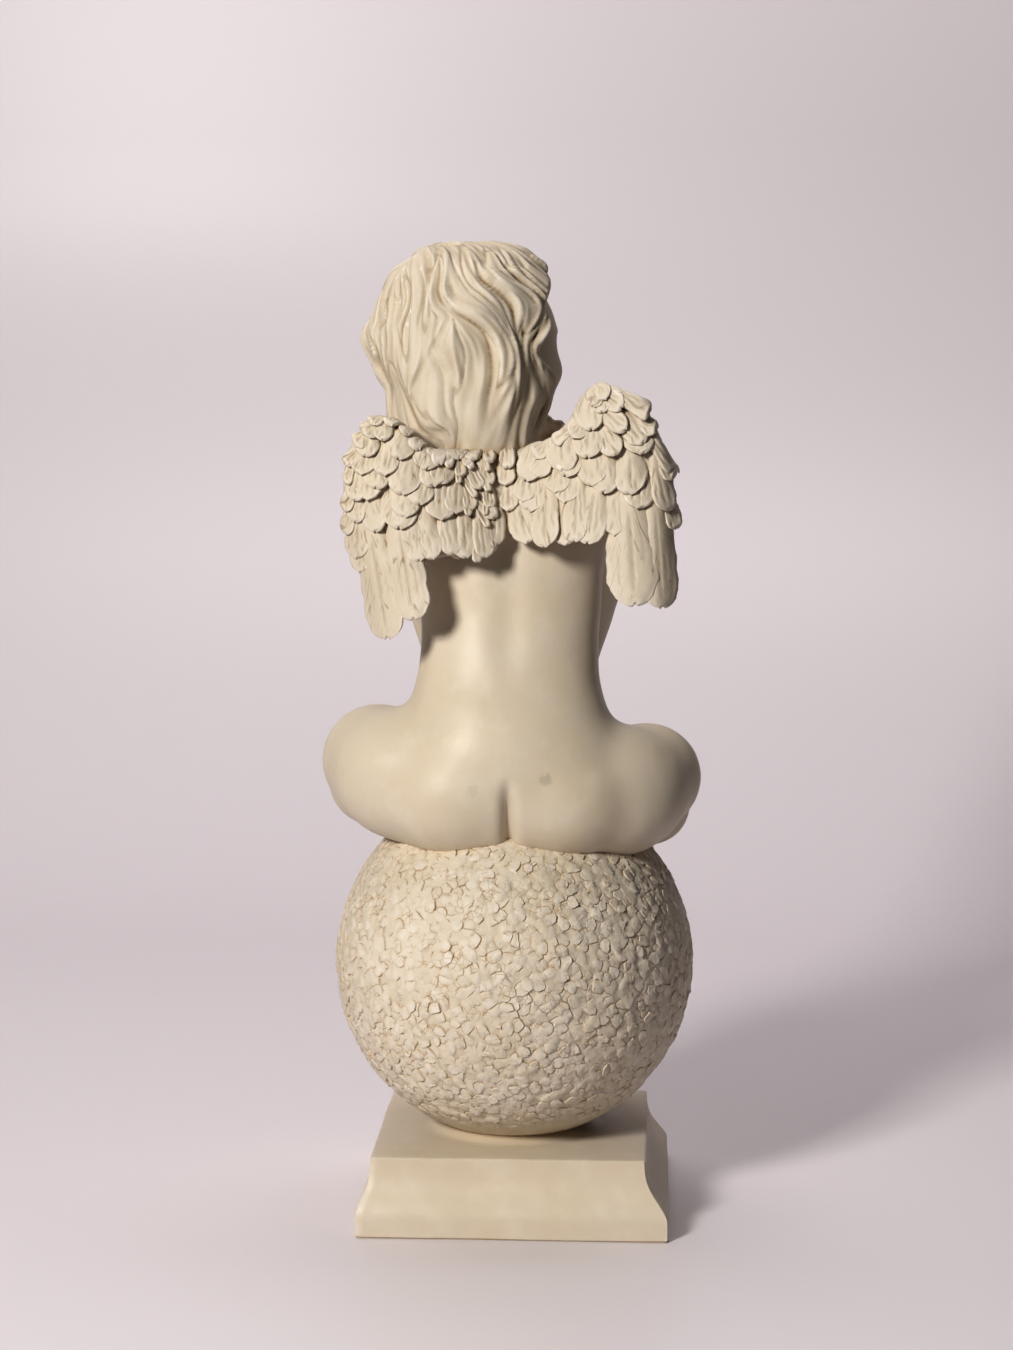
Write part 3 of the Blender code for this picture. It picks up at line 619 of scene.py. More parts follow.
# Edges of the locks seen from behind, as (right, up) from the head's middle in units. First come the side
# that overlies (1 is the right of the line, going down), the height and the width of the lock.
LOCK_EDGES = [
    (-1, 1.5, 4.0, [(-11.2, 29.2), (-10, 26.7), (-9.8, 22), (-10.4, 17), (-9.4, 13.7), (-7.6, 11.2)]),
    (-1, 1.2, 3.5, [(-15.4, 23.1), (-14.3, 18.1), (-15, 12.6), (-16.2, 7.6), (-16.5, 3.1)]),
    (-1, 1.0, 3.5, [(-20.4, 22), (-19.4, 17), (-20.3, 12), (-21.8, 7.6), (-22.1, 3.1), (-20.4, -5.8)]),
    (-1, 0.8, 4.0, [(-3.4, 32.6), (-1.5, 28.1), (-0.1, 24.2), (1.8, 20.3)]),
    (-1, 2.2, 6.0, [(2.1, 25.3), (3.2, 22), (5.7, 19.2), (9.6, 16.7), (12.4, 14.2), (14.2, 10.3), (14.9, 5.3)]),
    (-1, 1.9, 4.0, [(7.9, 31.4), (10.2, 27), (13.5, 23.7), (17.9, 20.3), (21.3, 17), (24.1, 14.2), (25.3, 10.9),
                    (24.6, 7), (21.8, 3.1), (19.2, -0.2), (18.6, -3.6), (19.9, -7.4), (21.6, -11.3),
                    (21.9, -14.7), (20.2, -19.1)]),
    (-1, 1.5, 2.6, [(11.3, 30.3), (13.5, 26.4), (16.3, 23.7), (20.7, 20.3), (24.1, 17), (26.3, 13.7),
                    (27.1, 9.8), (26.3, 5.3), (24.6, 0.9), (24.3, -2.4), (25.7, -7.4), (26.3, -11.3)]),
    (-1, 1.9, 3.4, [(13.5, 18.1), (17.4, 16.4), (20.1, 14.2), (21.3, 10.9), (19.9, 7), (17.7, 3.1),
                    (16.3, -1.3), (16, -5.8), (15.7, -9.7)]),
    (-1, 2.8, 8.0, [(-8.7, 11.4), (-2.1, 8.4), (1.8, 5.9), (4.6, 3.1), (6.2, -1.3), (6.6, -5.8), (6, -11.3),
                    (4.3, -16.3), (3.5, -20.2)]),
    (-1, 1.3, 3.0, [(0.2, 10.3), (5.2, 7.3), (9.1, 3.1), (10.8, -1.3), (10.4, -5.8), (8.6, -10.2),
                    (6.6, -14.1), (5.6, -16.9)]),
    (-1, 1.3, 2.8, [(10.2, 4.2), (12.4, 0.3), (13.2, -3.6), (12.1, -8.6), (9.3, -13), (6.8, -16.6),
                    (4.1, -19.7)]),
    (-1, 1.3, 3.4, [(16.6, -10.2), (15.4, -14.7), (12.9, -18.6), (11, -21.9), (11.6, -25.2)]),
    (-1, 1.5, 4.0, [(22.7, -10.2), (23.2, -14.1), (21.3, -18), (18.2, -20.8), (14.6, -23)]),
    (-1, 1.2, 4.0, [(-1.5, -21.3), (-2.7, -25.2), (-4.3, -29.4)]),
    (-1, 1.0, 4.0, [(9.1, -21.3), (6.7, -24.1), (6.3, -27.4), (7.7, -30.8), (9.1, -33)]),
    (1, 1.2, 3.5, [(-32.1, 3.1), (-29.8, -2.4), (-30.1, -7.4), (-26.8, -14.7)]),
    (1, 0.9, 3.0, [(-28.4, 7.6), (-26.8, 2), (-26.5, -3.6), (-25.7, -9.1), (-23.2, -15.8)]),
    (-1, 1.6, 4.5, [(-23.2, -8.6), (-19.3, -13.6), (-14.8, -17.4), (-10.9, -20.2), (-6.5, -21.3)]),
    (1, 1.0, 5.0, [(-12.1, -3.6), (-8.7, -9.1), (-7.6, -13.6), (-6.5, -16.9), (-4.3, -19.7)]),
    (1, 1.1, 4.0, [(-25.4, -19.1), (-20.9, -23), (-15.9, -26.3), (-10.9, -30.8), (-6.5, -34)]),
    (1, 0.8, 3.5, [(-15.4, -20.2), (-12.1, -24.1), (-8.7, -28.6), (-5.4, -33)]),
    (-1, 1.2, 3.4, [(31.8, -0.2), (29.1, -3.6), (28.2, -8), (30.2, -12.4), (29.6, -17.4), (27.4, -21.3)]),
    (-1, 1.0, 3.0, [(18.5, -23), (16.3, -26.3), (15.7, -30.2)]),
    (-1, 1.0, 3.0, [(24.1, -21.3), (22.1, -25.2), (21.6, -29.1)]),
    (1, 1.0, 3.5, [(-25.4, 20.3), (-27.9, 14.8), (-27.3, 8.7), (-29.3, 4.2)]),
    (-1, 0.8, 3.0, [(3.5, 32.6), (7.4, 28.1), (10.4, 22.6), (15.7, 19.2)]),
    (1, 0.5, 6.0, [(-7.1, 7.6), (-9.8, 3.1), (-12.1, -1.3), (-13.7, -5.8), (-15.4, -10.2), (-16.5, -13)]),
]
# Broad swells and hollows of the hair seen from behind: right, up, size, height
HAIR_SWELLS = [
    (-5, 0.5, 7.5, 2.0), (-20.5, -9, 8, 2.0), (-13, -18.5, 6, 1.8), (-3, -22, 4.5, -2.6),
    (6.5, -15, 4.5, -1.8), (3, -26, 4.5, -2.0), (14.5, -5, 5, 1.2), (20.5, -15.5, 5, 2.0), (13, -26, 4.5, 1.8),
    (22, -25, 4, 1.4), (-13, 27, 6, 1.0), (-34, 3, 5, 1.6), (-33, -6, 4, -1.0), (-35, -15, 8, -4.5),
    (-29, -23, 7, -4.0), (-22, 10, 6, -1.0), (4, 14, 7, 1.2), (24, 6, 5, 1.0), (-24, 21, 5, 0.9),
    (10, -10, 4, 1.0), (-10, -10, 4, -0.8),
]
# Typical reach of the hair, which turns directions into units
HAIR_REACH = 34.5
# From the head's middle to where its hair comes down on the wings, in units
NAPE_FALL = (-6.5, 35, -38)
HIDDEN_LOCKS = 22
HEAD_SEGMENTS = 376
HEAD_RINGS = 228
# How strongly the head's points are drawn together behind
HEAD_GATHER = 0.38


def shell_radius(unit, radii):
    return 1 / np.sqrt(((unit / np.array(radii)) ** 2).sum(1))


def hair_radius(unit):
    """Reach of the hair's mass: its shell, run together with the fuller locks at the nape."""
    centre, radii = (np.array(v, float) for v in NAPE)
    slope = (unit / radii**2) @ centre
    spread = ((unit / radii) ** 2).sum(1)
    inside = slope**2 - spread * (((centre / radii) ** 2).sum() - 1)
    nape = np.where(inside > 0, (slope + np.sqrt(np.maximum(inside, 0))) / spread, 0)
    shell = shell_radius(unit, HAIR_SHELL)
    mass = 0.5 * (shell + nape + np.sqrt((shell - nape) ** 2 + 6))
    fall = np.array(head_attitude().to_3x3().inverted() @ Vector(NAPE_FALL))
    reach = np.linalg.norm(fall)
    near = np.exp(-((1 - unit @ (fall / reach)) / 0.09))
    return mass + near * np.maximum(reach - mass, 0)


def hair_cover(unit):
    """1 where hair covers the head, 0 on the face and throat."""
    across = np.degrees(np.arctan2(unit[:, 0], -unit[:, 1])) / FACE_ACROSS
    up = np.degrees(np.arcsin(np.clip(unit[:, 2], -1, 1))) + FACE_LOW
    beside_jaw = ease((6 - up) / 34)
    across = across * (1 + JAW_NARROWING * beside_jaw + 0.035 * np.sin(up / 4.6 + 2 * np.sign(unit[:, 0])))
    up = np.where(up > 0, up / FACE_UP, up / FACE_DOWN)
    edge = np.hypot(across, up) + 0.03 * np.sin(16 * across) * (1 - beside_jaw)
    return ease((edge - 0.98) / (HAIRLINE[1] - (HAIRLINE[1] - HAIRLINE[0]) * beside_jaw))


def model_face(points):
    """Raises the face's forms on the front of the skull."""
    x, y, z = points.T
    front = ease((-y - 2) / 10)
    raised = np.zeros(len(points))
    for _, height, across, up, wide, tall in FACE_FORMS:
        for side in (1, -1) if across else (1,):
            raised += height * bell(x - side * across, wide) * bell(z - up, tall)
    moved = points.copy()
    moved[:, 1] -= raised * front
    return moved


def head_attitude():
    """From the head's own frame to the figure's."""
    turn = Matrix.Rotation(-math.radians(HEAD_TURN), 4, "Z")
    roll = Matrix.Rotation(math.radians(HEAD_ROLL), 4, "Y")
    nod = Matrix.Rotation(math.radians(HEAD_NOD), 4, "X")
    return Matrix.Translation(HEAD_CENTRE) @ roll @ turn @ nod


def back_view_axes():
    """Right, up and towards the viewer behind the figure, in the head's own frame."""
    inverse = np.array(head_attitude().to_3x3().inverted())
    yaw = math.radians(CAMERA_YAW)
    right = inverse @ (-math.cos(yaw), -math.sin(yaw), 0)
    toward = inverse @ (-math.sin(yaw), math.cos(yaw), 0)
    return right, inverse @ (0, 0, 1), toward


def lock_lines():
    """Every lock's edge as a line on the unit sphere, with its side, height and width."""
    right, up, toward = back_view_axes()
    lines = []
    for side, height, width, sketch in LOCK_EDGES:
        flat = smooth_line(sketch, 6 * len(sketch)) / HAIR_REACH
        flat *= np.minimum(1, 0.985 / np.maximum(np.hypot(*flat.T), 1e-6))[:, None]
        depth = np.sqrt(1 - (flat**2).sum(1))
        lines.append((side, height, width, flat[:, :1] * right + flat[:, 1:] * up + depth[:, None] * toward))
    for i in range(HIDDEN_LOCKS):
        start = 2 * math.pi * (i + 0.4 * scatter(i, 2)) / HIDDEN_LOCKS
        fall = np.radians(np.linspace(14 + 12 * scatter(i, 3), 118 + 22 * scatter(i, 4), 30))
        swing = 0.10 + 0.05 * scatter(i, 5)
        bearing = start + swing / np.maximum(np.sin(fall), 0.45) * np.sin(fall * 5.6 + 1.2 * np.sin(2 * start))
        line = crown_directions(fall, bearing)
        line = line[line @ toward < 0.12]
        if len(line) > 6:
            lines.append((1 if i % 2 else -1, 1.2 + 0.9 * scatter(i, 6), 3.2 + 2 * scatter(i, 7), line))
    return lines


def nearest_on(line, unit):
    """For each direction: the nearest place along the line, its distance and the signed one across it."""
    heading = np.gradient(line, axis=0)
    heading /= np.linalg.norm(heading, axis=1)[:, None]
    away = np.full(len(unit), np.inf)
    nearest = np.zeros(len(unit), int)
    for k, point in enumerate(line):
        squared = ((unit - point) ** 2).sum(1)
        closer = squared < away
        away[closer] = squared[closer]
        nearest[closer] = k
    offset = unit - line[nearest]
    across = np.cross(heading[nearest], unit)
    across /= np.maximum(np.linalg.norm(across, axis=1), 1e-9)[:, None]
    signed = HAIR_REACH * (offset * across).sum(1)
    return nearest, HAIR_REACH * np.sqrt(away), signed, heading[nearest]


def hair_swells(unit):
    """Broad swells of the hair's mass, on the back half alone."""
    right, up, toward = back_view_axes()
    across, rise, depth = (HAIR_REACH * (unit @ axis) for axis in (right, up, toward))
    total = np.zeros(len(unit))
    for x, z, size, height in HAIR_SWELLS:
        total += height * bell(across - x, size) * bell(rise - z, size)
    return total * ease((depth + 12) / 12)


def jaw_waves(unit):
    """Wavy locks in the hair that hangs beside the jaw, where the grooves of the back don't reach."""
    around = np.degrees(np.arctan2(np.abs(unit[:, 0]), -unit[:, 1]))
    up = np.degrees(np.arcsin(np.clip(unit[:, 2], -1, 1)))
    wave = np.sin(around / 1.75 + 1.7 * np.sin(up / 8.5) + 0.9 * np.sign(unit[:, 0]))
    return (1.1 * np.sqrt(0.5 + 0.5 * wave) - 0.7) * ease((8 - up) / 18) * bell(around - 74, 22)


def comb_locks(unit):
    """Height of the overlapping locks, and the depth of the grooves at their edges."""
    height = np.zeros(len(unit))
    groove = np.zeros(len(unit))
    for side, rise, width, line in lock_lines():
        middle = line.mean(0) / np.linalg.norm(line.mean(0))
        spread = math.acos(max(-1, min(line @ middle))) + 0.42
        close = np.nonzero(unit @ middle > math.cos(min(spread, math.pi)))[0]
        nearest, away, signed, _ = nearest_on(line, unit[close])
        signed = signed * side
        along = nearest / (len(line) - 1)
        at_end = (nearest == 0) | (nearest == len(line) - 1)
        past_end = np.where(at_end, np.sqrt(np.maximum(away**2 - signed**2, 0)), 0)
        strength = ease((along + 0.05) / 0.32) * ease((1.04 - along) / 0.30) * bell(past_end, 1.6)
        edge = 0.6 + 0.42 * rise
        overlying = (1 - bell(signed, edge)) * np.exp(-((np.maximum(signed, 0) / width) ** 1.5))
        height[close] += rise * strength * np.where(signed > 0, overlying, -0.22 * bell(signed, edge))
        groove[close] += strength * bell(signed + 0.25, 0.50) * min(rise / 1.6, 1.2)
    return height, groove


def comb_flow(unit):
    """The way the hair runs at each direction."""
    pole = np.array(CROWN)
    flow = ((unit @ pole)[:, None] * unit - pole) * 0.004
    for _, _, _, line in lock_lines():
        _, away, _, heading = nearest_on(line[::3], unit)
        flow += heading / (away[:, None] ** 2 + 3) ** 1.5
    flow -= (flow * unit).sum(1)[:, None] * unit
    return flow / np.maximum(np.linalg.norm(flow, axis=1), 1e-9)[:, None]


def comb_noise(unit, flow_at, size, reach, seed, steps=10):
    """Noise drawn out along the hair's run, which gives strands."""
    total = soft_noise(unit * HAIR_REACH, size, seed)
    for way in (1, -1):
        place = unit.copy()
        for step in range(steps):
            place += way * flow_at(place) * reach / steps / HAIR_REACH
            place /= np.linalg.norm(place, axis=1)[:, None]
            total = total + soft_noise(place * HAIR_REACH, size, seed) * (1 - step / steps)
    return total / math.sqrt(steps)


def crown_axes():
    """The crown's direction, the way from it to the face, and the way to the side."""
    pole = np.array(CROWN)
    ahead = np.cross(np.cross(pole, (0, -1.0, 0)), pole)
    ahead /= np.linalg.norm(ahead)
    return pole, ahead, np.cross(pole, ahead)


def crown_directions(fall, bearing):
    pole, ahead, aside = crown_axes()
    around = np.cos(bearing)[..., None] * ahead + np.sin(bearing)[..., None] * aside
    return np.cos(fall)[..., None] * pole + np.sin(fall)[..., None] * around


def flow_reader(rows=150, columns=260):
    """Reads the run of the hair anywhere, from a chart of it about the crown."""
    pole, ahead, aside = crown_axes()
    fall, bearing = np.linspace(0, math.pi, rows), np.linspace(-math.pi, math.pi, columns)
    fall, bearing = np.meshgrid(fall, bearing, indexing="ij")
    chart = comb_flow(crown_directions(fall, bearing).reshape(-1, 3)).reshape(rows, columns, 3)

    def read(place):
        row = np.arccos(np.clip(place @ pole, -1, 1)) / math.pi * (rows - 1)
        column = (np.arctan2(place @ aside, place @ ahead) / math.pi + 1) / 2 * (columns - 1)
        i = np.clip(row.astype(int), 0, rows - 2)
        j = np.clip(column.astype(int), 0, columns - 2)
        s, t = (row - i)[:, None], (column - j)[:, None]
        upper = chart[i, j] * (1 - t) + chart[i, j + 1] * t
        lower = chart[i + 1, j] * (1 - t) + chart[i + 1, j + 1] * t
        return upper * (1 - s) + lower * s

    return read


def gather_behind(points):
    """Turns the head's grid of points about the crown, so that more lie in the hair than on the face."""
    pole, ahead, aside = crown_axes()
    unit = points / np.linalg.norm(points, axis=1)[:, None]
    bearing = np.arctan2(unit @ aside, unit @ ahead)
    return crown_directions(np.arccos(np.clip(unit @ pole, -1, 1)), bearing + HEAD_GATHER * np.sin(bearing))


class FIGURINE_OT_head(Operator):
    """Model the head: a calm child's face under wavy combed-out locks"""

    bl_idname = "figurine.head"
    bl_label = "Head and hair"

    def execute(self, context):
        bpy.ops.mesh.primitive_uv_sphere_add(segments=HEAD_SEGMENTS, ring_count=HEAD_RINGS, radius=1)
        head = context.object
        head.name = head.data.name = "head"
        head.data.transform(Vector((0, 0, 1)).rotation_difference(CROWN).to_matrix().to_4x4())
        unit = gather_behind(points_of(head))
        cover = hair_cover(unit)
        locks, groove = comb_locks(unit)
        read = flow_reader()
        tresses = comb_noise(unit, read, 3.6, 17, 11)
        strands = comb_noise(unit, read, 1.25, 8, 12)
        puffs = soft_noise(unit * HAIR_REACH, 14, 13)
        relief = 1.7 + (1.2 * locks + 0.75 * tresses + 0.36 * strands) * cover**1.5 + 0.8 * puffs
        right = unit @ back_view_axes()[0]
        parting = bell(tresses, 0.16) * (0.55 + 0.45 * ease((right + 0.6) / 0.8))
        relief += (hair_swells(unit) - 0.75 * parting + jaw_waves(unit)) * cover
        face = model_face(unit * shell_radius(unit, SKULL)[:, None])
        hair = unit * (hair_radius(unit) + relief)[:, None]
        move_points(head, face + (hair - face) * cover[:, None])
        # The groove wash is painted wash together with painted shade in the grooves at the lock edges
        paint(
            head,
            wash=cover * np.clip(0.8 * groove - 0.25 * strands, 0, 1),
            pale=cover * np.clip(0.25 * locks + 0.35 * tresses + 0.2 * strands, 0, 1),
            cover=cover,
            comb=tresses,
            tress=strands,
        )
        head.data.transform(head_attitude())
        set_on_ball(head)
        finish_piece(head, resin("hair_resin", grooves=0.85, dry_brush=0.7, gloss=0.50, lines=hair_strands))
        return {"FINISHED"}


# ----- wings -----

# Feathers as tip across, tip height, length, width and lean outward in degrees, from the top row down
RIGHT_FEATHERS = [
    (-41, 64, 33, 13.5, 6), (-49, 63, 34, 9, 5),
    (-6, 82.5, 15, 8, 13), (-12.5, 81.5, 19, 7.5, 3), (-18, 82, 17, 7, 2), (-22, 83.5, 21, 7, 2),
    (-25.5, 83, 19, 9, -6), (-33, 85.5, 15, 8, -3),
    (-53.5, 87.5, 10, 4.5, 21), (-49.5, 93, 17, 6, 11), (-41, 94, 10, 8.5, -4), (-29.5, 99, 11, 9, -5),
    (-17.5, 95.5, 11, 8, -4), (-7, 92.5, 12, 8, -9), (0, 92.5, 9, 6, 3),
    (-39, 98.5, 14, 9, 3), (-26.5, 101, 12, 8.5, 0), (-14.5, 98.5, 10, 8, -7), (-3.5, 95.5, 10, 6.5, -11),
    (-51.5, 102.5, 9, 4, 30), (-52, 108, 17, 4.5, 31), (-18, 104, 11, 8.5, -10), (1, 100.5, 10, 5.5, 2),
    (-41.5, 111, 9, 8.5, 10), (-33.5, 110.5, 11, 6.5, 25), (-25.5, 110, 12, 9, 2), (-16, 105.5, 16, 8.5, -1),
    (-9.5, 103, 14, 6.5, -14), (-4.5, 102.5, 14, 6.5, -17), (0.5, 106, 10, 4.5, 5),
    (-42, 114, 12, 6.5, 35), (-25.5, 118.5, 13, 8, 6), (-37, 118.5, 16, 5.5, 49), (-13.5, 115, 12, 3.5, -51),
    (-44.5, 123, 18, 4, 53), (-36, 125.5, 14, 5.5, 53), (-31, 128, 8, 5, 25), (-26, 126, 8, 5.5, -20),
    (-46.5, 117.5, 10, 5, 48), (-41, 126, 7, 4, 60), (-20, 116, 8, 6, -35), (-8, 109.5, 8, 5, -35),
    (-30, 124, 8, 6, 12),
]
LEFT_FEATHERS = [
    (38, 52, 36, 11, -11), (30, 58.5, 32, 10.5, -10),
    (28.5, 77, 16, 7, -11), (24, 77.5, 16, 7, -12), (18, 79, 16, 6.5, -9), (13, 78, 16, 6, -6),
    (8, 78, 16, 5.5, -5), (4, 82, 14, 5.5, -4),
    (48.5, 72.5, 12, 6, 3), (48.5, 77, 16, 7.5, 0), (43, 86, 13, 7, -4), (54, 85, 12, 4.5, 23),
    (35.5, 87.5, 13, 11, 3), (22, 90, 13, 9, 0), (33.5, 91, 12, 8, 7), (17, 92, 12, 7, 4),
    (53, 92, 13, 4, 22), (52.5, 101, 10, 3, 21), (45.5, 96, 11, 8, 4), (33, 98, 13, 10, 6),
    (43, 100, 11, 8.5, 7), (24, 100.5, 12, 7, -10), (21.5, 101.5, 11, 7.5, 8), (52, 106.5, 10, 3.5, 34),
    (46.5, 104, 10, 8, 8), (35, 109.5, 10, 8.5, 13), (45.5, 110, 9, 7, 9), (28.5, 112, 8, 6.5, 0),
    (17.5, 108.5, 10, 9, -13), (46, 116.5, 8, 6.5, 45), (39.5, 115, 8, 5.5, 3),
    (11.5, 93, 10, 4, -16), (5, 90, 13, 4, -34), (6, 93.5, 10, 3.5, -11), (9, 99.5, 11, 4, -30),
    (5.5, 101, 10, 4, -29), (14.5, 103.5, 8, 3.5, -11), (10.5, 108, 8, 4, -21), (5.5, 107.5, 8, 3.5, -24),
    (24, 114, 9, 7, -8), (31, 116.5, 8, 7, 5), (12, 112, 8, 6, -25), (37, 119, 8, 6, 12), (18, 115, 8, 6, -15),
    (43, 119, 7, 5, 28), (49, 113, 8, 5, 38), (50, 96, 10, 6, 12), (26, 106, 10, 8, 0), (39, 104, 10, 8, 5),
    (28, 95, 11, 8, 3), (50, 89, 10, 6, 10),
]
FEATHER_THICKNESS = 2.2
FEATHER_RIM = 0.30
FEATHER_CUT = 0.30
# Plainer rows on the wing's front: distance from the top edge, length, width, first and last place, count
FRONT_ROWS = [(44, 16, 8, 6, 50, 7), (33, 14, 8, 8, 50, 7), (22, 12, 7.5, 10, 48, 6)]


def wing_place(wing, out, down, lift):
    """Points of a wing in the figure's frame: outward from its root, down from its rolled top edge, and over
    its skin."""
    side, root, roll = wing
    out, down, lift = np.broadcast_arrays(out, down, lift)
    quarter = EDGE_ROLL * math.pi / 2
    angle = np.clip(math.pi / 2 - down / EDGE_ROLL, 0, math.pi * 0.8)
    straight = np.maximum(down - quarter, 0)
    depth = spline(WING_DEPTH[side], out) - EDGE_ROLL + (EDGE_ROLL + lift) * np.cos(angle)
    up = spline(TOP_EDGE, out) - EDGE_ROLL + (EDGE_ROLL + lift) * np.sin(angle) - straight
    turn = math.radians(roll)
    across = out * math.cos(turn) + up * math.sin(turn)
    rise = -out * math.sin(turn) + up * math.cos(turn)
    return np.stack([root[0] + side * across, depth, root[1] + rise], -1)


def wing_skin(wing, x, z):
    """Outward and downward places on the wing's skin of a point seen from behind."""
    side, root, roll = wing
    turn = math.radians(roll)
    across, rise = side * (x - root[0]), z - root[1]
    out = across * math.cos(turn) - rise * math.sin(turn)
    up = across * math.sin(turn) + rise * math.cos(turn)
    over = up - float(spline(TOP_EDGE, out)) + EDGE_ROLL
    quarter = EDGE_ROLL * math.pi / 2
    if over < 0:
        return out, quarter - over
    return out, quarter - EDGE_ROLL * math.asin(min(over / EDGE_ROLL, 1))


def wing_height(out):
    """Distance down the skin from the top edge to the lower one."""
    return spline(TOP_EDGE, out) - spline(LOWER_EDGE, out) + EDGE_ROLL * (math.pi / 2 - 1)


def wing_blade(wing):
    """The solid blade under the feathers."""
    bpy.ops.mesh.primitive_grid_add(x_subdivisions=60, y_subdivisions=44, size=2)
    blade = bpy.context.object
    points = points_of(blade)
    out = -3 + 57 * (points[:, 0] + 1) / 2
    share = (1 - points[:, 1]) / 2
    down = -0.5 * EDGE_ROLL + (wing_height(out) - 4 + 0.5 * EDGE_ROLL) * share
    move_points(blade, wing_place(wing, out, down, -1.2))
    if wing[0] > 0:
        blade.data.flip_normals()
    thick = blade.modifiers.new("thickness", "SOLIDIFY")
    thick.thickness = WING_THICKNESS
    thick.offset = -1
    apply_modifiers(blade)
    return blade


def feather_template(segments, rings):
    """A round blank with most of its points on the side that shows."""
    bpy.ops.mesh.primitive_uv_sphere_add(segments=segments, ring_count=rings, radius=1)
    blank = bpy.context.object
    x, y, z = points_of(blank).T
    ring = np.sqrt(np.clip(1 - z * z, 0, 1))
    turn = np.arctan2(y, x)
    turn = turn + 0.42 * np.cos(turn)
    move_points(blank, np.stack([ring * np.cos(turn), ring * np.sin(turn), z], 1))
    return blank


def feather(template, wing, tip_out, tip_down, length, width, lean, seed, lift=0.0, front=False):
    """A carved feather laid on the wing, with its shaft, cut barbs and a thick rounded rim."""
    obj = add_object("feather", template.data.copy())
    x, y, z = points_of(obj).T
    ring = np.sqrt(np.clip(1 - z * z, 0, 1))
    side = np.where(ring > 1e-3, x / np.maximum(ring, 1e-6), 0)
    face = np.where(ring > 1e-3, y / np.maximum(ring, 1e-6), 0)
    back = length * (1 - z) / 2
    tip_zone = min(0.60 * width, 0.55 * length)
    half = width / 2 * (1 - (1 - np.clip(back / tip_zone, 0, 1)) ** 2.4) ** 0.5
    half *= 0.70 + 0.30 * ease((length - back) / (0.6 * length))
    half *= (1 + 0.03 * np.sin(back * 0.8 + 6 * scatter(seed, 1))
             + 0.015 * np.sin(back * 2.4 + 9 * scatter(seed, 2)))
    nick = np.sin(back * 1.9 + 5 * side + 7 * scatter(seed, 6))
    half *= 1 - 0.05 * ease((nick - 0.7) / 0.2) * ease((back - 0.2 * width) / 2)
    bend = (scatter(seed, 3) - 0.5) * 0.12 * length * (1 - np.clip(back / length, 0, 1)) ** 2
    wide = np.sign(side) * np.abs(side) ** 0.85
    across = wide * half + bend
    thick = FEATHER_THICKNESS / 2 * np.minimum(1, (back / (0.22 * width)) ** 0.5)
    height = np.sign(face) * np.abs(face) ** 0.45 * thick
    topside = ease(face / 0.35)
    inner = 1 - np.abs(wide)
    rim = FEATHER_RIM * bell(np.minimum(inner * half, back * 0.8) - 0.55, 0.55)
    rim *= 1 - ease((back - 0.5 * length) / (0.2 * length))
    hollow_wash_and_shade = 0.30 * bell(wide, 0.62) * bell(back - 0.30 * length, 0.22 * length)
    dome = 0.045 * width * (1 - wide**2)
    height += topside * (rim + dome - hollow_wash_and_shade)
    height -= 1.3 * np.abs(wide) ** 3 * ease((back / length - 0.12) / 0.4)
    rise = 3.5 + (0.08 * length if length > 20 else 0)
    height += lift - 2.0 + rise * (1 - back / length)
    cuts = 0.0
    if scatter(seed, 40) > 0.45 or length > 20:
        shaft = ease((back - 0.22 * width) / 1.5) * ease((0.8 * length - back) / 3)
        cuts = FEATHER_CUT * bell(wide * half, 0.32) * shaft
    for k in range(3):
        start = 0.08 + 0.30 * scatter(seed, 11 + k)
        reach = 0.22 + 0.30 * scatter(seed, 15 + k)
        place = (k - 1) * 0.5 + 0.25 * (scatter(seed, 19 + k) - 0.5)
        place = place * (1 - 0.35 * back / length)
        along = ease((back / length - start) / 0.08) * ease((start + reach - back / length) / 0.12)
        cuts = cuts + FEATHER_CUT * along * bell((wide - place) * width / 2 + 0.25 * np.sin(back * 1.3 + k), 0.30)
    height -= topside * np.minimum(cuts, 0.5)
    height += 0.10 * np.sin(1.3 * across + seed) * np.sin(0.9 * back + 2 * seed)
    ragged = width * (0.035 * np.sin(4.2 * wide + 6 * scatter(seed, 7)) + 0.01 * np.sin(9.5 * wide + 2 * seed))
    back = back + ragged * (1 - ease(back / (0.7 * width)))
    angle = math.radians(lean)
    out = tip_out - back * math.sin(angle) + across * math.cos(angle)
    shift = spline(TOP_EDGE, out) - spline(TOP_EDGE, np.array(float(tip_out)))
    down = tip_down - back * math.cos(angle) - across * math.sin(angle) + shift
    down = np.maximum(down, -0.9 * EDGE_ROLL)
    if front:
        height = -WING_THICKNESS - 0.8 - height
    move_points(obj, wing_place(wing, out, down, height))
    if (wing[0] > 0) != front:
        obj.data.flip_normals()
    paint(
        obj,
        wash=topside * np.clip(cuts * 1.7, 0, 1) * 0.8,
        pale=topside * np.clip(1.8 * rim / FEATHER_RIM + 0.55 - 1.3 * back / length - cuts, 0, 1),
        barb=np.abs(wide * half) + 0.33 * back,
        back=back,
        seed=np.full(len(back), float(seed)) + 0.5 * (wide > 0),
    )
    return obj


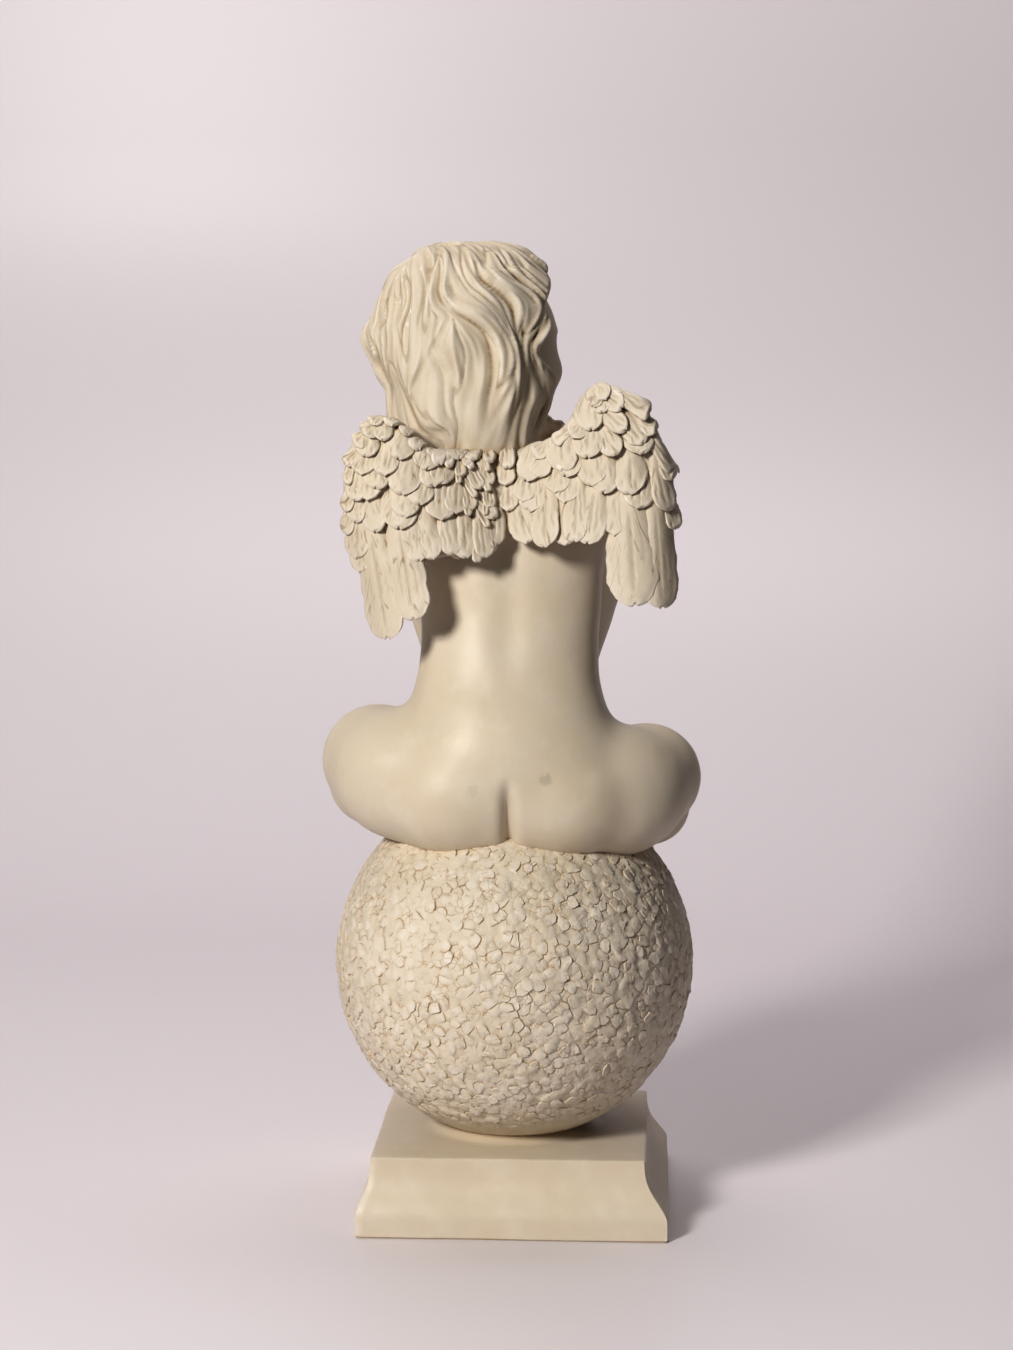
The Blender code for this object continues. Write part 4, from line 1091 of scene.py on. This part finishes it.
def model_wing(name, wing, feathers):
    """Blade, root, the feathers behind it, narrow tufts at the left root, and plainer rows in front."""
    side, _, roll = wing
    blanks = {False: feather_template(48, 30), True: feather_template(24, 18)}
    made = [wing_blade(wing), ellipsoid(wing_place(wing, 6, 16, -11), (12, 10, 13))]
    for seed, (x, z, length, width, lean) in enumerate(feathers):
        out, down = wing_skin(wing, x, z)
        down = max(down, 5.0)
        lift = 0.5 * (scatter(seed, 9) - 0.5)
        crowd = 1.35 if out < 15 else 1.12
        made.append(feather(blanks[False], wing, out, down, length * crowd, width * 1.24, lean + roll,
                            seed + 50 * (side > 0), lift))
        if side > 0 and out < 17:
            made.append(feather(blanks[True], wing, out + 0.45 * width, down + 2.2, length, width * 0.62,
                                lean + roll + 26 * (scatter(seed, 8) - 0.5), seed + 120, lift + 0.7))
    for row, (below, length, width, first, last, count) in enumerate(FRONT_ROWS):
        for i in range(count):
            out = first + (last - first) * i / (count - 1)
            down = min(below, float(wing_height(out)) - 2)
            made.append(feather(blanks[True], wing, out, down, length, width, 4, 200 + 10 * row + i, -0.4, True))
    for blank in blanks.values():
        bpy.data.objects.remove(blank)
    wing_piece = join(made, name)
    set_on_ball(wing_piece)
    finish_piece(wing_piece, resin(name + "_resin", grooves=0.78, dry_brush=0.7, gloss=0.45, lines=feather_cuts))


class FIGURINE_OT_wings(Operator):
    """Model both wings feather by feather"""

    bl_idname = "figurine.wings"
    bl_label = "Wings"

    def execute(self, context):
        model_wing("left_wing", LEFT_WING, LEFT_FEATHERS)
        model_wing("right_wing", RIGHT_WING, RIGHT_FEATHERS)
        return {"FINISHED"}


# ----- ball -----

# Crust, in millimetres: how high a plate stands, how deep cracks and their corners are, and how wide the rim
# of a plate is over its neighbour and under it; then its slant, and the share of edges that are open cracks
PLATE_LIFT = (-0.20, 0.28)
CRACK_DEPTH = (0.10, 0.32)
CORNER_DEPTH = (0.12, 0.30)
RIM_OVER, RIM_UNDER = 0.18, 0.36
PLATE_SLANT = (0.02, 0.08)
OPEN_SHARE = 0.40


def floret_centres(count):
    """Places spread over the sphere and jostled; the last one is its bottom."""
    index = np.arange(count - 1) + 0.5
    height = 1 - 1.999 * index / count
    turn = math.pi * (1 + 5**0.5) * index
    ring = np.sqrt(1 - height**2)
    places = np.stack([ring * np.cos(turn), ring * np.sin(turn), height], 1)
    places += np.random.default_rng(5).normal(0, 0.80 / math.sqrt(count), (count - 1, 3))
    places /= np.linalg.norm(places, axis=1)[:, None]
    return np.vstack([places[places[:, 2] > -0.999], (0, 0, -1)])


def cell_corners(centres):
    """The corners between the plates, and each plate's corners in order, from the neighbours of every centre."""
    flat = centres[:-1, :2] / (1 + centres[:-1, 2:])
    triangles = [list(t) for t in delaunay_2d_cdt([Vector(v) for v in flat.tolist()], [], [], 0, 1e-9)[2]]
    ways = {(a, b) for t in triangles for a, b in zip(t, t[1:] + t[:1])}
    triangles += [[b, a, len(flat)] for a, b in ways if (b, a) not in ways]
    triangles.sort()
    a, b, c = (centres[np.array(triangles)[:, k]] for k in range(3))
    corners = np.cross(b - a, c - a)
    corners /= np.linalg.norm(corners, axis=1)[:, None]
    corners *= np.sign((corners * a).sum(1))[:, None]
    cells = [[] for _ in centres]
    for index, triangle in enumerate(triangles):
        for centre in triangle:
            cells[centre].append(index)
    for centre, cell in zip(centres, cells):
        east = np.cross(centre, (0.3, 0.5, 0.8))
        north = np.cross(centre, east)
        cell.sort(key=lambda i: math.atan2((corners[i] - centre) @ north, (corners[i] - centre) @ east))
    return corners, cells


class Crust:
    """The ball's skin: plates that each have a height, slant and paleness of their own, often running into
    their neighbour without a crack."""

    def __init__(self, florets, radius):
        self.millimetre = 0.001 / radius
        self.corners, self.cells = cell_corners(floret_centres(florets))
        self.centres = np.array([self.corners[cell].mean(0) for cell in self.cells])
        self.centres /= np.linalg.norm(self.centres, axis=1)[:, None]
        self.points, self.wash, self.pale, self.faces = [], [], [], []
        count = len(self.cells)
        self.rng = rng = np.random.default_rng(9)
        self.raised = rng.uniform(*PLATE_LIFT, count) + 0.20 * soft_noise(self.centres, 0.16, 31)
        self.chalky = np.clip(rng.normal(0.40, 0.30, count) + 0.4 * soft_noise(self.centres, 0.22, 32), 0, 1)
        tilts = rng.normal(0, 1, (count, 3)) + (-0.5, 0, -0.6)
        tilts -= (tilts * self.centres).sum(1)[:, None] * self.centres
        self.tilts = tilts * rng.uniform(*PLATE_SLANT, count)[:, None]
        self.owners = {}
        for index, cell in enumerate(self.cells):
            for a, b in zip(cell, cell[1:] + cell[:1]):
                self.owners.setdefault((min(a, b), max(a, b)), []).append(index)
        self.is_open = {key: rng.random() < OPEN_SHARE for key in self.owners}

    def add(self, direction, height, washed, chalky):
        """A point at its height in millimetres over the ball, which fades out under the figure and at the foot."""
        fade = float(ease((direction[2] + 0.84) / 0.10) * ease((0.985 - direction[2]) / 0.05))
        self.points.append(np.asarray(direction) * (1 + height * fade * self.millimetre))
        self.wash.append(washed * fade)
        self.pale.append(chalky)
        return len(self.points) - 1

    def top_of(self, index, direction):
        return self.raised[index] + self.tilts[index] @ (direction - self.centres[index]) / self.millimetre

    def make_corners(self):
        """Points where plates meet, sunk where two cracks or more do."""
        self.meeting = np.zeros(len(self.corners), int)
        touching = [[] for _ in self.corners]
        for key, sides in self.owners.items():
            for corner in key:
                self.meeting[corner] += self.is_open[key]
                touching[corner] += [side for side in sides if side not in touching[corner]]
        self.corner_point = []
        for corner, around in enumerate(touching):
            heights = [self.top_of(i, self.corners[corner]) for i in around]
            split = self.meeting[corner] > 1
            level = min(heights) - self.rng.uniform(*CORNER_DEPTH) if split else np.mean(heights)
            paleness = float(np.mean(self.chalky[around]))
            self.corner_point.append(self.add(self.corners[corner], level, 0.8 if split else 0.0, paleness))

    def make_edges(self):
        """Points along each edge between two plates: bowed and ragged in a crack, few where they run together."""
        self.rail = {}
        for key, sides in self.owners.items():
            start, end = self.corners[key[0]], self.corners[key[1]]
            gap = np.linalg.norm(end - start) / self.millimetre
            is_open = self.is_open[key]
            steps = min(4, int(gap / 0.55)) if is_open else min(1, int(gap / 1.6))
            sideways = np.cross(start, end)
            sideways /= max(np.linalg.norm(sideways), 1e-9)
            lower = min(sides, key=lambda i: self.raised[i])
            outward = 1 if sideways @ (self.centres[lower] - start) > 0 else -1
            bow = outward * self.rng.uniform(0.0, 0.22) * gap
            self.rail[key] = []
            for step in range(steps):
                t = (step + 1) / (steps + 1)
                sway = bow * 4 * t * (1 - t) + (self.rng.uniform(-0.16, 0.16) if is_open else 0)
                place = start + (end - start) * t + sideways * sway * self.millimetre
                place /= np.linalg.norm(place)
                heights = [self.top_of(i, place) for i in sides]
                if is_open:
                    point = self.add(place, min(heights) - self.rng.uniform(*CRACK_DEPTH), 1.0, 0.3)
                else:
                    point = self.add(place, np.mean(heights), 0.0, float(np.mean(self.chalky[sides])))
                self.rail[key].append(point)

    def outline(self, index):
        """The points round a plate, each with whether a crack runs there and whether the plate lies over it."""
        ring = []
        cell = self.cells[index]
        for a, b in zip(cell, cell[1:] + cell[:1]):
            key = (min(a, b), max(a, b))
            higher = all(self.raised[index] >= self.raised[i] for i in self.owners[key])
            ring.append((self.corner_point[a], self.meeting[a] > 1, True))
            along = self.rail[key] if a < b else self.rail[key][::-1]
            ring += [(i, self.is_open[key], higher) for i in along]
        return ring

    def make_plate(self, index):
        """A plate's top: a rim inside its outline, and a fan to its middle."""
        rng, middle, ring = self.rng, self.centres[index], self.outline(index)
        rim = []
        for i, is_open, higher in ring:
            edge = self.points[i] / np.linalg.norm(self.points[i])
            away = middle - edge
            inset = (RIM_OVER if higher else RIM_UNDER) * rng.uniform(0.75, 1.25) * self.millimetre
            place = edge + away * min(inset / np.linalg.norm(away), 0.45)
            place /= np.linalg.norm(place)
            lift = self.top_of(index, place) + rng.uniform(-0.06, 0.06) + (0.06 if is_open and higher else 0)
            rim.append(self.add(place, lift, 0.10 if is_open else 0.0, self.chalky[index]))
        top = self.add(middle, self.raised[index] + rng.uniform(-0.14, 0.14), 0.0, self.chalky[index])
        for k in range(len(ring)):
            m = (k + 1) % len(ring)
            self.faces += [(ring[k][0], ring[m][0], rim[m], rim[k]), (rim[k], rim[m], top)]


class FIGURINE_OT_ball(Operator):
    """Model the ball's crust of small overlapping florets"""

    bl_idname = "figurine.ball"
    bl_label = "Crusted ball"

    def execute(self, context):
        look = context.scene.figurine
        crust = Crust(look.florets, look.ball_radius)
        crust.make_corners()
        crust.make_edges()
        for index in range(len(crust.cells)):
            crust.make_plate(index)
        points = np.array(crust.points) * look.ball_radius + np.array(ball_centre())
        ball = mesh_object("ball", points.tolist(), [], crust.faces)
        soften = ball.modifiers.new("soften", "SMOOTH")
        soften.factor = 0.3
        soften.iterations = 1
        apply_modifiers(ball)
        paint(ball, wash=crust.wash, pale=crust.pale)
        material = resin("crust_resin", grooves=0.6, dry_brush=0.35, gloss=0.5, grain=1.7, plates=True)
        finish_piece(ball, material, angle=50)
        return {"FINISHED"}


# ----- plinth -----

def plinth_block(look):
    """Square plinth: a band, a concave moulding over it, and slightly uneven cast faces."""
    corner, across, steps = 0.0010, 72, 24
    levels = [(0.0, 1.0, -0.0006), (0.0006, 1.0, 0.0)]
    levels += [(PLINTH_BAND_HEIGHT * t, 1.0, 0.0) for t in (0.35, 0.7, 0.95)]
    for step in range(1, steps + 1):
        rise = step / steps
        flare = float(ease((1 - rise) ** MOULDING_POWER))
        levels.append((PLINTH_BAND_HEIGHT + (look.plinth_height - PLINTH_BAND_HEIGHT) * rise, flare, 0.0))
    levels[-1] = (look.plinth_height - 0.0005, levels[-1][1], 0.0)
    levels.append((look.plinth_height - 0.00015, 0.0, -0.00035))
    levels.append((look.plinth_height, 0.0, -0.0010))
    points, faces = [], []
    for height, flare, inset in levels:
        half = (look.plinth_top_width + (look.plinth_width - look.plinth_top_width) * flare) / 2 + inset
        middle = TOP_OFFSET * (1 - flare)
        for side in range(4):
            turn = Matrix.Rotation(side * math.pi / 2, 3, "Z")
            for k in range(across):
                t = -1 + 2 * k / across
                spare = max(abs(t) * half - (half - corner), 0)
                flat = turn @ Vector((half - spare * spare / corner * 0.6, t * half, height))
                points.append((flat.x + middle, flat.y, height))
    around = 4 * across
    for low in range(0, len(points) - around, around):
        for i in range(around):
            j = (i + 1) % around
            faces.append((low + i, low + j, low + around + j, low + around + i))
    faces += [tuple(reversed(range(around))), tuple(range(len(points) - around, len(points)))]
    block = mesh_object("plinth", points, [], faces)
    points = points_of(block)
    wobble = 0.00016 * np.stack([soft_noise(points, 0.018, s) for s in (21, 22, 23)], 1)
    wobble += 0.00007 * np.stack([soft_noise(points, 0.004, s) for s in (24, 25, 26)], 1)
    wobble[points[:, 2] < 0.0001, 2] = 0
    move_points(block, points + wobble)
    return block


def ball_fillet(look):
    """The smooth collar that runs from the ball's foot into the plinth."""
    radius = look.ball_radius
    contact = math.sqrt(radius**2 - (radius - BALL_SINK) ** 2)
    outer = contact + FILLET_WIDTH
    inner = contact + 0.5 * FILLET_WIDTH
    rise = radius - BALL_SINK - math.sqrt(radius**2 - inner**2)
    profile = [(0.001, rise), (inner * 0.9, rise)]
    profile += [(inner + (outer - inner) * t, rise * (1 - t) ** 2) for t in np.linspace(0, 1, 12)]
    profile += [(outer, -0.002), (0.001, -0.002)]
    edges = [(i, i + 1) for i in range(len(profile) - 1)]
    fillet = mesh_object("fillet", [(x, 0, z) for x, z in profile], edges, [])
    screw = fillet.modifiers.new("turn", "SCREW")
    screw.steps = screw.render_steps = 160
    screw.use_merge_vertices = True
    screw.merge_threshold = 0.00001
    apply_modifiers(fillet)
    bpy.ops.object.mode_set(mode="EDIT")
    bpy.ops.mesh.select_all(action="SELECT")
    bpy.ops.mesh.fill_holes(sides=0)
    bpy.ops.mesh.normals_make_consistent(inside=False)
    bpy.ops.object.mode_set(mode="OBJECT")
    fillet.data.transform(Matrix.Translation((TOP_OFFSET, 0, look.plinth_height)))
    return fillet


class FIGURINE_OT_plinth(Operator):
    """Model the moulded square plinth and the fillet at the ball's foot"""

    bl_idname = "figurine.plinth"
    bl_label = "Plinth"

    def execute(self, context):
        look = context.scene.figurine
        plinth = join([plinth_block(look), ball_fillet(look)], "plinth")
        finish_piece(plinth, resin("plinth_resin", grooves=0.7, dry_brush=0.2, gloss=0.36), angle=35)
        return {"FINISHED"}


# ----- studio -----

def sweep():
    """A pale floor that sweeps up into the wall, its colour painted darker near the camera on the key light's side as
    painted shade.
    """
    start, radius = 0.42, 0.42
    profile = [(y, 0) for y in np.linspace(-0.32, start, 10)]
    profile += [(start + radius * math.sin(a), radius * (1 - math.cos(a))) for a in np.linspace(0.1, math.pi / 2, 16)]
    profile += [(start + radius, height) for height in (0.7, 1.0, 1.3)]
    bpy.ops.mesh.primitive_grid_add(x_subdivisions=2, y_subdivisions=len(profile) - 1, size=2)
    paper = bpy.context.object
    paper.name = paper.data.name = "studio_sweep"
    points = points_of(paper)
    row = np.round((points[:, 1] + 1) / 2 * (len(profile) - 1)).astype(int)
    points[:, 0] *= 0.75
    points[:, 1:] = np.array(profile)[row] * (-1, 1)
    move_points(paper, points)
    shader = Shader("pale_paper")
    look = bpy.context.scene.figurine
    across = shader.node("ShaderNodeSeparateXYZ", None, {0: shader.place()})
    near = Value(shader, across.socket.node.outputs[1])
    # Painted shade: the paper's colour is made up to a fifth darker towards the camera and towards +X, the key
    # light's side, to dim the light there
    shaded_paper_tone = shader.mix((near * 1.2 + 0.25).limit() * across.ramp(-0.15, 0.45), colour(look.floor),
                      colour([c * 0.80 for c in look.floor]))
    shader.link(shader.surface.inputs["Base Color"], shaded_paper_tone)
    shader.surface.inputs["Roughness"].default_value = 0.40
    paper.data.materials.append(shader.material)
    bpy.ops.object.shade_smooth()


def soft_light(name, place, target, size, energy, tint):
    """A rectangular area light aimed at its target."""
    bpy.ops.object.light_add(type="AREA", location=place)
    light = bpy.context.object
    light.name = light.data.name = name
    light.data.shape = "RECTANGLE"
    light.data.size, light.data.size_y = size
    light.data.energy = energy
    light.data.color = tint
    light.rotation_euler = (Vector(target) - Vector(place)).to_track_quat("-Z", "Y").to_euler()


def photo_camera():
    """The camera behind the figure, slightly above, as the object was seen."""
    yaw, tilt = math.radians(CAMERA_YAW), math.radians(CAMERA_TILT)
    place = Vector((-math.sin(yaw) * CAMERA_DISTANCE, math.cos(yaw) * CAMERA_DISTANCE, CAMERA_HEIGHT))
    heading = Matrix.Rotation(math.atan(AXIS_SHIFT), 3, "Z") @ Vector((math.sin(yaw), -math.cos(yaw), 0))
    look = heading * math.cos(tilt) - Vector((0, 0, math.sin(tilt)))
    bpy.ops.object.camera_add(location=place, rotation=look.to_track_quat("-Z", "Y").to_euler())
    camera = bpy.context.object
    camera.data.sensor_fit = "AUTO"
    camera.data.sensor_width = 36
    camera.data.lens = PHOTO_LENS
    camera.data.clip_start = 0.01
    bpy.context.scene.camera = camera


class FIGURINE_OT_studio(Operator):
    """Set up the pale sweep, the soft lights and the camera"""

    bl_idname = "figurine.studio"
    bl_label = "Studio"

    def execute(self, context):
        sweep()
        middle = (0, 0, 0.18)
        soft_light("key", (0.594, 1.029, 0.709), middle, (0.24, 0.24), 16.4, (1.0, 0.985, 0.96))
        soft_light("overhead", (0.0, -0.35, 1.5), (0, -0.3, 0), (1.0, 0.7), 2.7, (1.0, 0.965, 0.97))
        soft_light("wall_light", (0.05, -0.25, 1.4), (0.05, -0.84, 0.35), (1.2, 0.4), 5.2, (1.0, 0.95, 0.97))
        world = bpy.data.worlds.new("studio")
        context.scene.world = world
        world.use_nodes = True
        world.node_tree.nodes["Background"].inputs[0].default_value = (1.0, 0.93, 0.88, 1)
        world.node_tree.nodes["Background"].inputs[1].default_value = 0.03
        context.scene.view_settings.view_transform = "Standard"
        context.scene.view_settings.gamma = 0.82
        context.scene.view_settings.exposure = 0.14
        photo_camera()
        return {"FINISHED"}


# ----- settings and panel -----

def shade(name, description, value):
    return FloatVectorProperty(name=name, description=description, subtype="COLOR", size=3, min=0, max=1,
                               default=value)


def length(name, description, value):
    return FloatProperty(name=name, description=description, unit="LENGTH", min=0.001, precision=4, default=value)


class FigurineSettings(PropertyGroup):
    """Sizes and colours a user would change"""

    figure_height: length("Figure height", "From the ball's top to the crown of the hair", FIGURE_HEIGHT)
    ball_radius: length("Ball radius", "Radius of the ball under its crust", BALL_RADIUS)
    plinth_width: length("Plinth width", "Width of the plinth's band", PLINTH_WIDTH)
    plinth_top_width: length("Plinth top width", "Width of the plinth under the ball", PLINTH_TOP_WIDTH)
    plinth_height: length("Plinth height", "Height of the plinth", PLINTH_HEIGHT)
    florets: IntProperty(name="Florets", description="Florets on the ball", default=3900, min=400, max=4000)
    cream: shade("Cream", "Main colour of the resin", (0.625, 0.547, 0.437))
    cream_warm: shade("Warm cream", "Yellower areas of the resin", (0.615, 0.523, 0.385))
    cream_pale: shade("Pale cream", "Paler clouds in the resin", (0.70, 0.625, 0.52))
    # The wash colour also paints shade into hollows and creases
    wash: shade("Wash", "Brown wash left in the grooves", (0.30, 0.215, 0.125))
    chalk: shade("Chalk", "Pale dry brushing on raised edges", (0.80, 0.755, 0.70))
    # The stain is also the colour of painted shade in hollows, laid in by ambient occlusion
    stain_and_shade: shade("Stain", "Tan stain around the grooves", (0.56, 0.42, 0.255))
    crack: shade("Crack", "Ochre wash in the crust's cracks", (0.43, 0.275, 0.125))
    plate: shade("Plate", "Pale bloom on raised places", (0.70, 0.63, 0.53))
    smudge: shade("Smudge", "Grey rubbed marks", (0.33, 0.29, 0.22))
    floor: shade("Floor", "Colour of the studio sweep", (0.78, 0.735, 0.755))


PIECES = ("body", "head", "wings", "ball", "plinth", "studio")


class FIGURINE_PT_panel(Panel):
    """Lists the figurine's pieces and settings"""

    bl_idname = "FIGURINE_PT_panel"
    bl_label = "Angel Figurine"
    bl_space_type = "VIEW_3D"
    bl_region_type = "UI"
    bl_category = "Figurine"

    def draw(self, context):
        settings = context.scene.figurine
        for name in FigurineSettings.__annotations__:
            self.layout.prop(settings, name)
        for piece in PIECES:
            self.layout.operator("figurine." + piece)


CLASSES = (
    FigurineSettings,
    FIGURINE_OT_body,
    FIGURINE_OT_head,
    FIGURINE_OT_wings,
    FIGURINE_OT_ball,
    FIGURINE_OT_plinth,
    FIGURINE_OT_studio,
    FIGURINE_PT_panel,
)


def register():
    for cls in CLASSES:
        bpy.utils.register_class(cls)
    bpy.types.Scene.figurine = PointerProperty(type=FigurineSettings)


def unregister():
    del bpy.types.Scene.figurine
    for cls in reversed(CLASSES):
        bpy.utils.unregister_class(cls)


def main():
    register()
    for piece in PIECES:
        getattr(bpy.ops.figurine, piece)()


if __name__ == "__main__":
    main()
